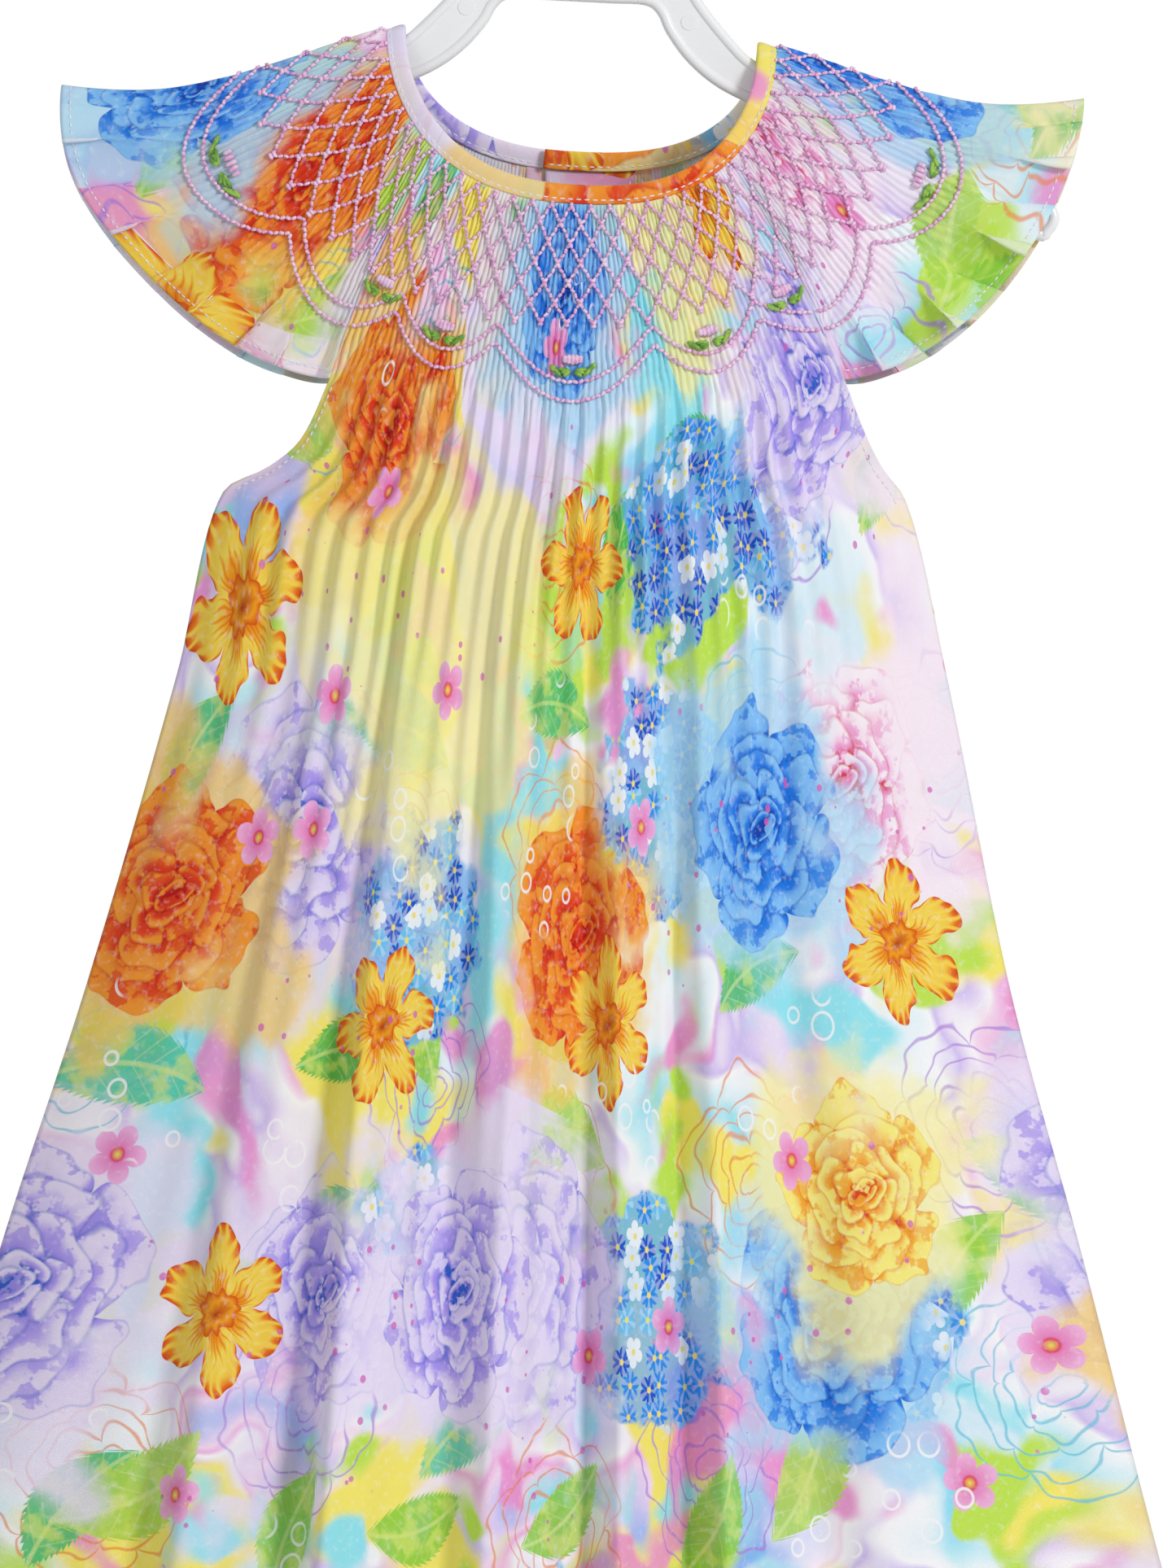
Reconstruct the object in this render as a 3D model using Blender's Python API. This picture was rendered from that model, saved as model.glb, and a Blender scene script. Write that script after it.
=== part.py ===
"""Child's bishop smocked dress on a one-piece clothes hanger.

Sizes are in millimetres and points become metres as they are laid. The origin is inside the crown of the
hanger's hook, +Z up, the front of the dress facing -Y, +X to the right as seen from the front.
The cloth is a closed wall about 1.5 mm thick. Its smocked part has pleats raised on the outside only.
"""

import math

import bmesh
import bpy
from mathutils import Matrix, Vector

MM = 0.001

# Neck line: centre line of the binding, by an angle that is 0 at the right shoulder and 270 at the front.
NECK_CENTRE_X = -3.45
NECK_HALF_WIDTH = 68.25
NECK_LEFT_Z = -100.5
NECK_RIGHT_Z = -107.0
NECK_FRONT_DROP = 60.0
NECK_BACK_DROP = 44.0
NECK_FRONT_DEPTH = 28.0
NECK_BACK_DEPTH = 26.0

# Binding strip, from its outer end at the centre back all round to its inner end.
BINDING_WIDTH = 7.2
BINDING_THICKNESS = 2.4
BINDING_START = 85.3
BINDING_STOP = 457.9
BINDING_STEPS = 84
BINDING_INSIDE_SHIFT = 2.9

# Cloth
WALL = 1.5
SEAM_GAP = 0.3
PLEAT_RELIEF = 1.1
YOKE_START = 3.9
YOKE_STOP = 73.4
YOKE_ROWS = (YOKE_START, 26.0, 49.0, YOKE_STOP)
RAGLAN_BULGE = 3.0

# Pleats, gathers and broad folds
FRONT_PLEATS = 56
BACK_PLEATS = 20
SLEEVE_PLEATS = 36
FRONT_FOLDS = 11
SLEEVE_WAVES = 9
SKIRT_ROWS = (86.0, 98.4, 113.4, 126.4, 150.0, 173.4, 211.0, 250.0, 291.4, 340.0, 387.4, 445.0, 502.4, 558.4)

# Side edges of front and back: distance below the neck, left x and z, right x and z, depth of the edge.
SIDE_EDGES = (
    (73.4, -95.4, -230.4, 92.7, -230.7, 17.5),
    (98.4, -107.0, -253.0, 101.0, -251.0, 11.0),
    (113.4, -119.0, -262.5, 107.5, -263.0, 6.0),
    (126.4, -135.3, -270.5, 116.0, -274.0, 0.15),
    (173.4, -152.5, -337.0, 131.0, -337.0, 0.15),
    (291.4, -187.0, -455.0, 155.0, -455.0, 0.15),
    (387.4, -218.5, -551.0, 181.0, -551.0, 0.15),
    (502.4, -252.0, -666.0, 210.5, -666.0, 0.15),
    (558.4, -269.0, -722.0, 226.0, -722.0, 0.15),
)

# Middle of front and back: distance below the neck, x, front z and depth, back z and depth.
MIDDLES = (
    (0.0, -3.45, -163.8, 28.0, -147.8, 26.0),
    (73.4, -4.5, -237.2, 33.0, -226.0, 31.0),
    (126.4, -8.0, -290.2, 36.0, -288.0, 35.0),
    (173.4, -10.8, -337.0, 38.0, -337.0, 37.0),
    (291.4, -16.0, -455.0, 43.0, -455.0, 41.0),
    (387.4, -18.7, -551.0, 47.0, -551.0, 44.0),
    (502.4, -20.7, -666.0, 51.0, -666.0, 47.0),
    (558.4, -21.5, -722.0, 53.0, -722.0, 49.0),
)

# Height of the gathers and of the broad folds: distance below the neck, gather, fold.
FOLD_HEIGHTS = (
    (73.4, 0.5, 0.0),
    (86.0, 1.3, 0.2),
    (98.4, 1.9, 0.5),
    (126.4, 2.1, 1.5),
    (173.4, 1.8, 3.0),
    (291.4, 1.0, 5.0),
    (387.4, 0.4, 6.5),
    (502.4, 0.0, 8.0),
    (558.4, 0.0, 8.5),
)

# Sleeves: hem tip at the shoulder line, rows as parts of the length, heights of the ruffle waves.
SLEEVE_TIPS = {-1: (-194.4, -121.5), 1: (181.8, -126.6)}
SLEEVE_SAG = 9.0
SLEEVE_YOKE_STOP = 0.64
SLEEVE_ROWS = (0.72, 0.79, 0.86, 0.93, 1.0)
RUFFLE_HEIGHTS = ((0.64, 0.3), (0.77, 1.8), (0.88, 4.0), (1.0, 6.5))

# Placket at the centre back
PLACKET_COLUMNS = (0.0, 6.5, 13.5, 20.0)
PLACKET_SHARE = 0.1
PLACKET_THICKNESS = 1.2
PLACKET_ROWS = YOKE_ROWS + SKIRT_ROWS[:5]
BUTTON_RADIUS = 5.5
BUTTON_THICKNESS = 2.4
BUTTON_PLACES = (14.0, 60.0, 106.0)

# Hanger, drawn upright about the hook's crown and then turned with its right side down.
HANGER_TILT = 3.0
HANGER_WEB = 2.4
HANGER_RIM = 2.2
HOOK_CENTRE_Z = -21.0
HOOK_RADIUS = 23.5
HOOK_WIRE = 2.6
HOOK_TIP_ANGLE = 200.0
HOOK_STEM_END = -60.0
DISC_RADIUS = 3.0
HANGER_OUTLINE = (
    (7.0, -50.0),
    (20.0, -58.0),
    (32.0, -70.0),
    (40.5, -80.5),
    (45.7, -87.7),
    (50.0, -93.0),
    (57.5, -101.2),
    (65.0, -108.2),
    (75.0, -113.4),
    (100.0, -123.0),
    (137.0, -138.0),
    (174.0, -152.8),
    (179.5, -156.5),
    (181.5, -161.3),
    (179.0, -167.0),
    (172.0, -169.5),
    (136.0, -154.5),
    (100.0, -139.0),
    (76.0, -129.0),
    (59.0, -122.6),
    (48.8, -117.0),
    (40.0, -109.5),
    (33.0, -100.6),
    (29.5, -94.0),
    (24.5, -90.8),
)

CLOTH_COLOUR = (0.80, 0.66, 0.84, 1.0)
BINDING_COLOUR = (0.86, 0.60, 0.74, 1.0)
BUTTON_COLOUR = (0.88, 0.86, 0.88, 1.0)
HANGER_COLOUR = (0.90, 0.92, 0.94, 1.0)


def smooth(value):
    """Eases 0 to 1 and holds outside."""
    value = min(1.0, max(0.0, value))
    return value * value * (3.0 - 2.0 * value)


def follow(table, place):
    """Row of a table at a place, eased through its rows without overshoot."""
    if place <= table[0][0]:
        return table[0][1:]
    if place >= table[-1][0]:
        return table[-1][1:]
    row = max(i for i in range(len(table) - 1) if table[i][0] <= place)
    start = table[row]
    stop = table[row + 1]
    step = stop[0] - start[0]
    part = (place - start[0]) / step
    values = []
    for column in range(1, len(start)):
        here = (stop[column] - start[column]) / step
        before = here
        after = here
        if row > 0:
            before = (start[column] - table[row - 1][column]) / (start[0] - table[row - 1][0])
        if row + 2 < len(table):
            after = (table[row + 2][column] - stop[column]) / (table[row + 2][0] - stop[0])
        first = 0.0 if before * here <= 0 else 2 * before * here / (before + here)
        last = 0.0 if after * here <= 0 else 2 * after * here / (after + here)
        values.append(
            start[column] * (1 + 2 * part) * (1 - part) ** 2
            + stop[column] * (3 - 2 * part) * part**2
            + step * (first * part * (1 - part) ** 2 - last * (1 - part) * part**2)
        )
    return tuple(values)


def neck(angle):
    """Point of the neck line."""
    across = math.cos(math.radians(angle))
    along = math.sin(math.radians(angle))
    x = NECK_CENTRE_X + NECK_HALF_WIDTH * math.copysign(abs(across) ** 0.8, across)
    slope = (NECK_RIGHT_Z - NECK_LEFT_Z) / (2 * NECK_HALF_WIDTH)
    shoulder = NECK_LEFT_Z + slope * (x - NECK_CENTRE_X + NECK_HALF_WIDTH)
    drop = NECK_FRONT_DROP if along < 0 else NECK_BACK_DROP
    depth = NECK_FRONT_DEPTH if along < 0 else NECK_BACK_DEPTH
    return Vector((x, math.copysign(abs(along) ** 0.8, along) * depth, shoulder - abs(along) * drop))


def measured_arc(start, stop):
    """Points of the neck line between two angles, with the length to each."""
    points = [neck(start + (stop - start) * i / 160) for i in range(161)]
    lengths = [0.0]
    for a, b in zip(points, points[1:]):
        lengths.append(lengths[-1] + (b - a).length)
    return points, lengths


ARCS = {
    (-1, -1): measured_arc(270, 225),
    (-1, 1): measured_arc(270, 315),
    (1, -1): measured_arc(90, 135),
    (1, 1): measured_arc(90, 45),
    ("sleeve", -1, -1): measured_arc(180, 225),
    ("sleeve", -1, 1): measured_arc(180, 135),
    ("sleeve", 1, -1): measured_arc(360, 315),
    ("sleeve", 1, 1): measured_arc(360, 405),
}


def on_arc(key, distance):
    """Point of an arc at a distance along it."""
    points, lengths = ARCS[key]
    distance = min(max(distance, 0.0), lengths[-1])
    i = max(k for k in range(len(lengths) - 1) if lengths[k] <= distance)
    return points[i].lerp(points[i + 1], (distance - lengths[i]) / (lengths[i + 1] - lengths[i]))


def spread(face, u, total):
    """Distance from the middle of a column: the back keeps an ungathered band for the placket."""
    u = abs(u)
    if face < 0:
        return u * total
    band = PLACKET_COLUMNS[-1]
    if u < PLACKET_SHARE:
        return band * u / PLACKET_SHARE
    return band + (u - PLACKET_SHARE) / (1 - PLACKET_SHARE) * (total - band)


def body_edge(face, side, s):
    """Side edge of the front (face -1) or the back (face 1): raglan seam, armhole, then side seam."""
    top = SIDE_EDGES[0]
    column = 1 if side < 0 else 3
    if s < YOKE_STOP:
        part = s / YOKE_STOP
        start = ARCS[(face, side)][0][-1]
        end = Vector((top[column], face * top[5], top[column + 1]))
        return start.lerp(end, part) + Vector((side * RAGLAN_BULGE * math.sin(math.pi * part), 0, 0))
    row = follow(SIDE_EDGES, s)
    return Vector((row[column - 1], face * row[4], row[column]))


def body_table(face, side, u, s):
    """Front or back surface without its fit to the neck line."""
    edge = body_edge(face, side, s)
    middle = follow(MIDDLES, s)
    centre_x = middle[0]
    centre_z = middle[1] if face < 0 else middle[3]
    depth = middle[2] if face < 0 else middle[4]
    width = abs(edge.x - centre_x)
    out = spread(face, u, width)
    part = min(1.0, out / width)
    depth_here = abs(edge.y) + (depth - abs(edge.y)) * (1 - part**2.2)
    z = edge.z + (centre_z - edge.z) * (1 - part**2)
    return Vector((centre_x + side * out, face * depth_here, z))


def body_base(face, u, s):
    """Front or back surface: u is -1 at the left edge and 1 at the right edge, s the distance below the neck."""
    side = -1 if u < 0 else 1
    point = body_table(face, side, u, s)
    if s >= YOKE_STOP:
        return point
    length = ARCS[(face, side)][1][-1]
    fit = on_arc((face, side), spread(face, u, length)) - body_table(face, side, u, 0.0)
    return point + fit * (1 - max(s, 0.0) / YOKE_STOP) ** 2


def sleeve_hem(side, v):
    """Hem of a sleeve: v is -1 at the front raglan seam, 0 on the shoulder line and 1 at the back seam."""
    top = SIDE_EDGES[0]
    column = 1 if side < 0 else 3
    tip_x, tip_z = SLEEVE_TIPS[side]
    turn = abs(v) * math.pi / 2
    across = max(0.0, math.cos(turn)) ** 1.2
    down = max(0.0, math.sin(turn)) ** 1.2
    droop = 3.0 * math.sin(2 * turn) if v > 0 else 0.0
    x = top[column] + (tip_x - top[column]) * across
    z = tip_z + (top[column + 1] - tip_z) * down - droop
    return Vector((x, math.copysign(top[5] * abs(v) ** 0.7, v), z))


def sleeve_base(side, v, t):
    """Sleeve surface: t is 0 at the neck line and 1 at the hem."""
    key = ("sleeve", side, -1 if v < 0 else 1)
    start = on_arc(key, abs(v) * ARCS[key][1][-1])
    point = start.lerp(sleeve_hem(side, v), t)
    point.z -= SLEEVE_SAG * math.sin(math.pi * max(t, 0.0) ** 1.3) * (1 - abs(v) ** 1.5)
    point.x += side * RAGLAN_BULGE * math.sin(math.pi * t) * abs(v) ** 4
    return point


def facing(base, column, row, column_step, row_step, outward):
    """Unit normal of a surface, on its outer side."""
    across = base(column + column_step, row) - base(column - column_step, row)
    down = base(column, row + row_step) - base(column, row - row_step)
    normal = across.cross(down).normalized()
    return normal if normal.dot(outward) > 0 else -normal


def body_normal(face, u, s):
    step = min(0.01, max(1e-4, 1 - abs(u))) if abs(u) > 0.98 else 0.01
    centre = max(-1 + step, min(1 - step, u))
    outward = Vector((0.3 * u, face, 0.0))
    return facing(lambda a, b: body_base(face, a, b), centre, s, step * 0.99, 0.5, outward)


def sleeve_normal(side, v, t):
    centre = max(-0.985, min(0.985, v))
    if abs(centre) < 0.02:
        return Vector((side * 0.17, 0.0, 1.0)).normalized()
    face = -1 if v < 0 else 1
    outward = Vector((0.1 * side, face, 0.6))
    return facing(lambda a, b: sleeve_base(side, a, b), centre, min(t, 0.995), 0.012, 0.004, outward)


def seam_normal(face, side, s):
    """Direction through both cloths where front or back meets the sleeve, or front meets back."""
    own = body_normal(face, side * 0.99, s)
    if s <= YOKE_STOP:
        other = sleeve_normal(side, face * 0.985, s / YOKE_STOP)
    else:
        other = Vector((own.x, -own.y, own.z))
    if s > YOKE_STOP and s < 126.0:
        return own
    return (own + other).normalized()


def fold_height(face, u, s):
    """How far gathers and broad folds move the cloth outwards."""
    gather, fold = follow(FOLD_HEIGHTS, s)
    if s < YOKE_STOP:
        return 0.0
    calm = 1 - abs(u) ** 6
    if face > 0:
        part = max(0.0, (abs(u) - PLACKET_SHARE) / (1 - PLACKET_SHARE))
        calm *= smooth(part / 0.06)
        gathers = BACK_PLEATS / 2 * part
        folds = FRONT_FOLDS / 2 * part
    else:
        gathers = FRONT_PLEATS / 2 * (u + 1) / 2
        folds = FRONT_FOLDS * (u + 1) / 2
    uneven = 1 + 0.25 * math.sin(9.1 * u + face)
    wave = -gather * math.cos(2 * math.pi * gathers) * (1 + 0.2 * math.sin(17 * u))
    broad = fold * uneven * math.sin(2 * math.pi * folds + 0.5 * math.sin(7 * u + 2 * face))
    return (wave + broad) * calm


def ruffle_height(side, v, t):
    """How far the ruffle waves of a sleeve move the cloth outwards."""
    if t < SLEEVE_YOKE_STOP:
        return 0.0
    height = follow(RUFFLE_HEIGHTS, t)[0]
    room = max(0.0, abs(sleeve_base(side, v, t).y) * 0.8 - 2.4)
    calm = 1 - abs(v) ** 8
    wave = math.sin(math.pi * SLEEVE_WAVES * v + 0.4 * side)
    return min(height, room) * calm * wave


def at(points):
    """Points in metres."""
    return [point * MM for point in points]


def stitch_rows(bm, upper, lower):
    """Triangles between two rows, each a list of place and vertex."""
    i = 0
    j = 0
    while i < len(upper) - 1 or j < len(lower) - 1:
        last_lower = j == len(lower) - 1
        take_upper = i < len(upper) - 1 and (last_lower or upper[i + 1][0] <= lower[j + 1][0] + 1e-9)
        if take_upper:
            bm.faces.new((upper[i][1], upper[i + 1][1], lower[j][1]))
            i += 1
        else:
            bm.faces.new((upper[i][1], lower[j + 1][1], lower[j][1]))
            j += 1


def wall(name, outer, inner, colour):
    """Closed wall between outer and inner rows, each row a list of place and point."""
    bm = bmesh.new()
    sides = []
    for rows in (outer, inner):
        sides.append([[(place, bm.verts.new(point * MM)) for place, point in row] for row in rows])
    for rows in sides:
        for upper, lower in zip(rows, rows[1:]):
            stitch_rows(bm, upper, lower)
    stitch_rows(bm, sides[0][0], sides[1][0])
    stitch_rows(bm, sides[0][-1], sides[1][-1])
    for end in (0, -1):
        for k in range(len(outer) - 1):
            a = sides[0][k][end][1]
            b = sides[0][k + 1][end][1]
            c = sides[1][k + 1][end][1]
            d = sides[1][k][end][1]
            bm.faces.new((a, b, c))
            bm.faces.new((a, c, d))
    bmesh.ops.recalc_face_normals(bm, faces=bm.faces)
    return finish(name, bm, colour)


def finish(name, bm, colour, roughness=0.85):
    """Object of a built mesh, in the dress's collection, with its own material."""
    mesh = bpy.data.meshes.new(name)
    bm.to_mesh(mesh)
    bm.free()
    piece = bpy.data.objects.new(name, mesh)
    DRESS.objects.link(piece)
    material = bpy.data.materials.new(name + "_material")
    material.use_nodes = True
    shader = material.node_tree.nodes["Principled BSDF"]
    shader.inputs["Base Color"].default_value = colour
    shader.inputs["Roughness"].default_value = roughness
    shader.inputs["Metallic"].default_value = 0.0
    mesh.materials.append(material)
    return piece


def body_columns(face, first, last, pleats):
    """Columns of a panel: two to a pleat, valley and peak, and the placket's own columns on the back."""
    if face < 0:
        return [(-1 + 2 * k / (2 * pleats), k % 2) for k in range(2 * pleats + 1)]
    flat = [PLACKET_SHARE * width / PLACKET_COLUMNS[-1] for width in PLACKET_COLUMNS[:-1]]
    step = (1 - PLACKET_SHARE) / (2 * pleats)
    columns = [(u, 0) for u in flat] + [(PLACKET_SHARE + k * step, k % 2) for k in range(2 * pleats + 1)]
    return [(last * u, odd) for u, odd in columns] if first == 0 else columns


def body_point(face, u, s, offset, seam):
    """Point of a panel's wall: offset from the middle of the cloth, drawn back from a seam at its edge."""
    side = -1 if u < 0 else 1
    point = body_base(face, u, s)
    normal = body_normal(face, u, s)
    reach = 1.0
    if abs(u) > 0.9999:
        shared = seam_normal(face, side, s)
        reach = 1 / max(0.45, normal.dot(shared))
        normal = shared
        inward = body_base(face, side * 0.985, s) - point
        inward -= normal * inward.dot(normal)
        point = point + inward.normalized() * (SEAM_GAP / 2 + 0.02)
    if seam and abs(u) < 1e-9:
        point.x += seam * SEAM_GAP / 2
    return point + normal * (fold_height(face, u, s) + offset * reach)


def body_panel(name, face, side, pleats, colour):
    """Front (side 0) or one half of the back."""
    columns = body_columns(face, -1 if side == 0 else 0, side, pleats)
    place = (lambda u: u) if side == 0 else abs
    outer = []
    inner = []
    for s in YOKE_ROWS:
        outer.append([])
        for u, odd in columns:
            relief = PLEAT_RELIEF * odd
            outer[-1].append((place(u), body_point(face, u, s, WALL / 2 + relief, side)))
        inner.append([(place(u), body_point(face, u, s, -WALL / 2, side)) for u, odd in columns if not odd])
    for s in SKIRT_ROWS:
        for rows, offset in ((outer, WALL / 2), (inner, -WALL / 2)):
            rows.append([(place(u), body_point(face, u, s, offset, side)) for u, odd in columns if not odd])
    return wall(name, outer, inner, colour)


def sleeve_point(side, v, t, offset):
    """Point of a sleeve's wall."""
    point = sleeve_base(side, v, t)
    normal = sleeve_normal(side, v, t)
    if abs(v) > 0.9999:
        face = -1 if v < 0 else 1
        normal = seam_normal(face, side, t * YOKE_STOP)
        inward = sleeve_base(side, v * 0.97, t) - point
        inward -= normal * inward.dot(normal)
        point = point + inward.normalized() * (SEAM_GAP / 2 + 0.02)
    return point + normal * (ruffle_height(side, v, t) + offset)


def sleeve(name, side, colour):
    """Flutter sleeve, smocked into the neck and ruffled at its hem."""
    columns = [(-1 + 2 * k / (2 * SLEEVE_PLEATS), k % 2) for k in range(2 * SLEEVE_PLEATS + 1)]
    outer = []
    inner = []
    length = 118.0
    yoke = [YOKE_START / length, 0.24, 0.44, SLEEVE_YOKE_STOP]
    for t in yoke:
        outer.append([])
        for v, odd in columns:
            start = YOKE_START / (length + (YOKE_STOP - length) * abs(v))
            row = start + (t - yoke[0]) * (1 - start) / (1 - yoke[0])
            outer[-1].append((v, sleeve_point(side, v, row, WALL / 2 + PLEAT_RELIEF * odd)))
        inner.append([])
        for v, odd in columns:
            if odd:
                continue
            start = YOKE_START / (length + (YOKE_STOP - length) * abs(v))
            row = start + (t - yoke[0]) * (1 - start) / (1 - yoke[0])
            inner[-1].append((v, sleeve_point(side, v, row, -WALL / 2)))
    for t in SLEEVE_ROWS:
        for rows, offset in ((outer, WALL / 2), (inner, -WALL / 2)):
            rows.append([(v, sleeve_point(side, v, t, offset)) for v, odd in columns if not odd])
    return wall(name, outer, inner, colour)


def cloth_direction(angle):
    """Direction in which the cloth leaves the neck line."""
    turn = angle % 360
    near = 12.0
    if 225 <= turn <= 315:
        side = -1 if turn < 270 else 1
        face = -1
    elif 45 <= turn <= 135:
        side = -1 if turn > 90 else 1
        face = 1
    else:
        side = -1 if 135 < turn < 225 else 1
        face = 0
    start = neck(angle)
    if face:
        points, lengths = ARCS[(face, side)]
        share = nearest_length(points, lengths, start) / lengths[-1]
        u = share
        if face > 0:
            band = PLACKET_COLUMNS[-1] / lengths[-1]
            u = share / band * PLACKET_SHARE if share < band else None
            if u is None:
                u = PLACKET_SHARE + (share - band) / (1 - band) * (1 - PLACKET_SHARE)
        return (body_base(face, side * u, near) - start).normalized()
    part = -1 if (turn > 180) else 1
    points, lengths = ARCS[("sleeve", side, part)]
    v = part * nearest_length(points, lengths, start) / lengths[-1]
    return (sleeve_base(side, v, near / 100.0) - start).normalized()


def nearest_length(points, lengths, point):
    """Length along an arc to its point nearest the given one."""
    best = min(range(len(points)), key=lambda k: (points[k] - point).length)
    return lengths[best]


def binding():
    """Neck binding: a folded strip whose ends lap at the centre back, the inner end passing inside."""
    bm = bmesh.new()
    rings = []
    half = BINDING_WIDTH / 2
    section = ((-half, 0.5), (-half + 1.2, 1.0), (half - 1.2, 1.0), (half, 0.5))
    section = section + tuple((a, -b) for a, b in reversed(section))
    directions = []
    angles = []
    for k in range(BINDING_STEPS + 1):
        angles.append(BINDING_START + (BINDING_STOP - BINDING_START) * k / BINDING_STEPS)
        directions.append(cloth_direction(angles[-1]))
    for k, angle in enumerate(angles):
        near = directions[max(0, k - 1) : k + 2]
        down = sum(near, Vector((0, 0, 0))).normalized()
        along = (neck(angle + 1) - neck(angle - 1)).normalized()
        down = (down - along * down.dot(along)).normalized()
        out = down.cross(along)
        centre = neck(angle)
        centre.y -= BINDING_INSIDE_SHIFT * smooth((angle - 400) / 38)
        ring = []
        for a, b in section:
            ring.append(bm.verts.new((centre + down * a + out * (b * BINDING_THICKNESS / 2)) * MM))
        rings.append(ring)
    count = len(section)
    for first, second in zip(rings, rings[1:]):
        for k in range(count):
            bm.faces.new((first[k], first[(k + 1) % count], second[(k + 1) % count], second[k]))
    bm.faces.new(rings[0])
    bm.faces.new(rings[-1])
    bmesh.ops.recalc_face_normals(bm, faces=bm.faces)
    return finish("neck_binding", bm, BINDING_COLOUR)


def placket(name, first, last, offset):
    """Straight strip on the outside or the inside of the back, on the columns of the back's own cloth."""
    places = [-width for width in reversed(PLACKET_COLUMNS[1:])] + list(PLACKET_COLUMNS)
    columns = [place for place in places if first - 0.01 <= place <= last + 0.01]
    outer = []
    inner = []
    for s in PLACKET_ROWS:
        for rows, shift in ((outer, offset + PLACKET_THICKNESS / 2), (inner, offset - PLACKET_THICKNESS / 2)):
            row = []
            for place in columns:
                u = place / PLACKET_COLUMNS[-1] * PLACKET_SHARE
                row.append((place, body_point(1, u, s, shift, 0)))
            rows.append(row)
    return wall(name, outer, inner, CLOTH_COLOUR)


def button(name, s, offset):
    """Flat round button with softened edges, lying on the outer placket."""
    bm = bmesh.new()
    bmesh.ops.create_cone(
        bm,
        cap_ends=True,
        segments=28,
        radius1=BUTTON_RADIUS * MM,
        radius2=BUTTON_RADIUS * MM,
        depth=BUTTON_THICKNESS * MM,
    )
    rims = [edge for edge in bm.edges if abs(edge.verts[0].co.z - edge.verts[1].co.z) < 1e-6]
    bmesh.ops.bevel(
        bm,
        geom=rims,
        offset=0.5 * MM,
        offset_type="OFFSET",
        affect="EDGES",
        segments=1,
        profile=0.5,
        material=-1,
    )
    piece = finish(name, bm, BUTTON_COLOUR, 0.35)
    normal = body_normal(1, 0.001, s)
    centre = body_base(1, 0.0, s) + normal * (offset + BUTTON_THICKNESS / 2)
    piece.matrix_world = Matrix.Translation(centre * MM) @ normal.to_track_quat("Z", "Y").to_matrix().to_4x4()
    return piece


def inset_outline(points, amount):
    """Closed outline moved inwards by an amount, its points running clockwise."""
    moved = []
    count = len(points)
    for k, (x, z) in enumerate(points):
        before = points[k - 1]
        after = points[(k + 1) % count]
        first = Vector((x - before[0], z - before[1])).normalized()
        second = Vector((after[0] - x, after[1] - z)).normalized()
        along = (first + second).normalized()
        reach = amount / max(0.6, along.dot(first))
        moved.append((x + along.y * reach, z - along.x * reach))
    return moved


def joined(piece, others):
    """Adds other closed meshes to a piece."""
    bpy.context.view_layer.objects.active = piece
    for other in others:
        change = piece.modifiers.new("join", "BOOLEAN")
        change.operation = "UNION"
        change.solver = "EXACT"
        change.object = other
    depsgraph = bpy.context.evaluated_depsgraph_get()
    mesh = bpy.data.meshes.new_from_object(piece.evaluated_get(depsgraph))
    piece.modifiers.clear()
    old = piece.data
    piece.data = mesh
    bpy.data.meshes.remove(old)
    for other in others:
        bpy.data.objects.remove(other, do_unlink=True)
    return piece


def tube(name, points, radius, cyclic, sides=8):
    """Round tube along points, as a mesh."""
    curve = bpy.data.curves.new(name, "CURVE")
    curve.dimensions = "3D"
    spline = curve.splines.new("POLY")
    spline.points.add(len(points) - 1)
    for control, point in zip(spline.points, points):
        control.co = (point.x * MM, point.y * MM, point.z * MM, 1.0)
    spline.use_cyclic_u = cyclic
    curve.bevel_depth = radius * MM
    curve.bevel_resolution = (sides - 4) // 2
    curve.use_fill_caps = True
    shaped = bpy.data.objects.new(name, curve)
    CUTTERS.objects.link(shaped)
    depsgraph = bpy.context.evaluated_depsgraph_get()
    mesh = bpy.data.meshes.new_from_object(shaped.evaluated_get(depsgraph))
    bpy.data.objects.remove(shaped, do_unlink=True)
    bm = bmesh.new()
    bm.from_mesh(mesh)
    bmesh.ops.remove_doubles(bm, verts=bm.verts, dist=0.00001)
    bmesh.ops.recalc_face_normals(bm, faces=bm.faces)
    bm.to_mesh(mesh)
    bm.free()
    piece = bpy.data.objects.new(name, mesh)
    piece.hide_render = True
    piece.display_type = "WIRE"
    CUTTERS.objects.link(piece)
    return piece


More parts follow.
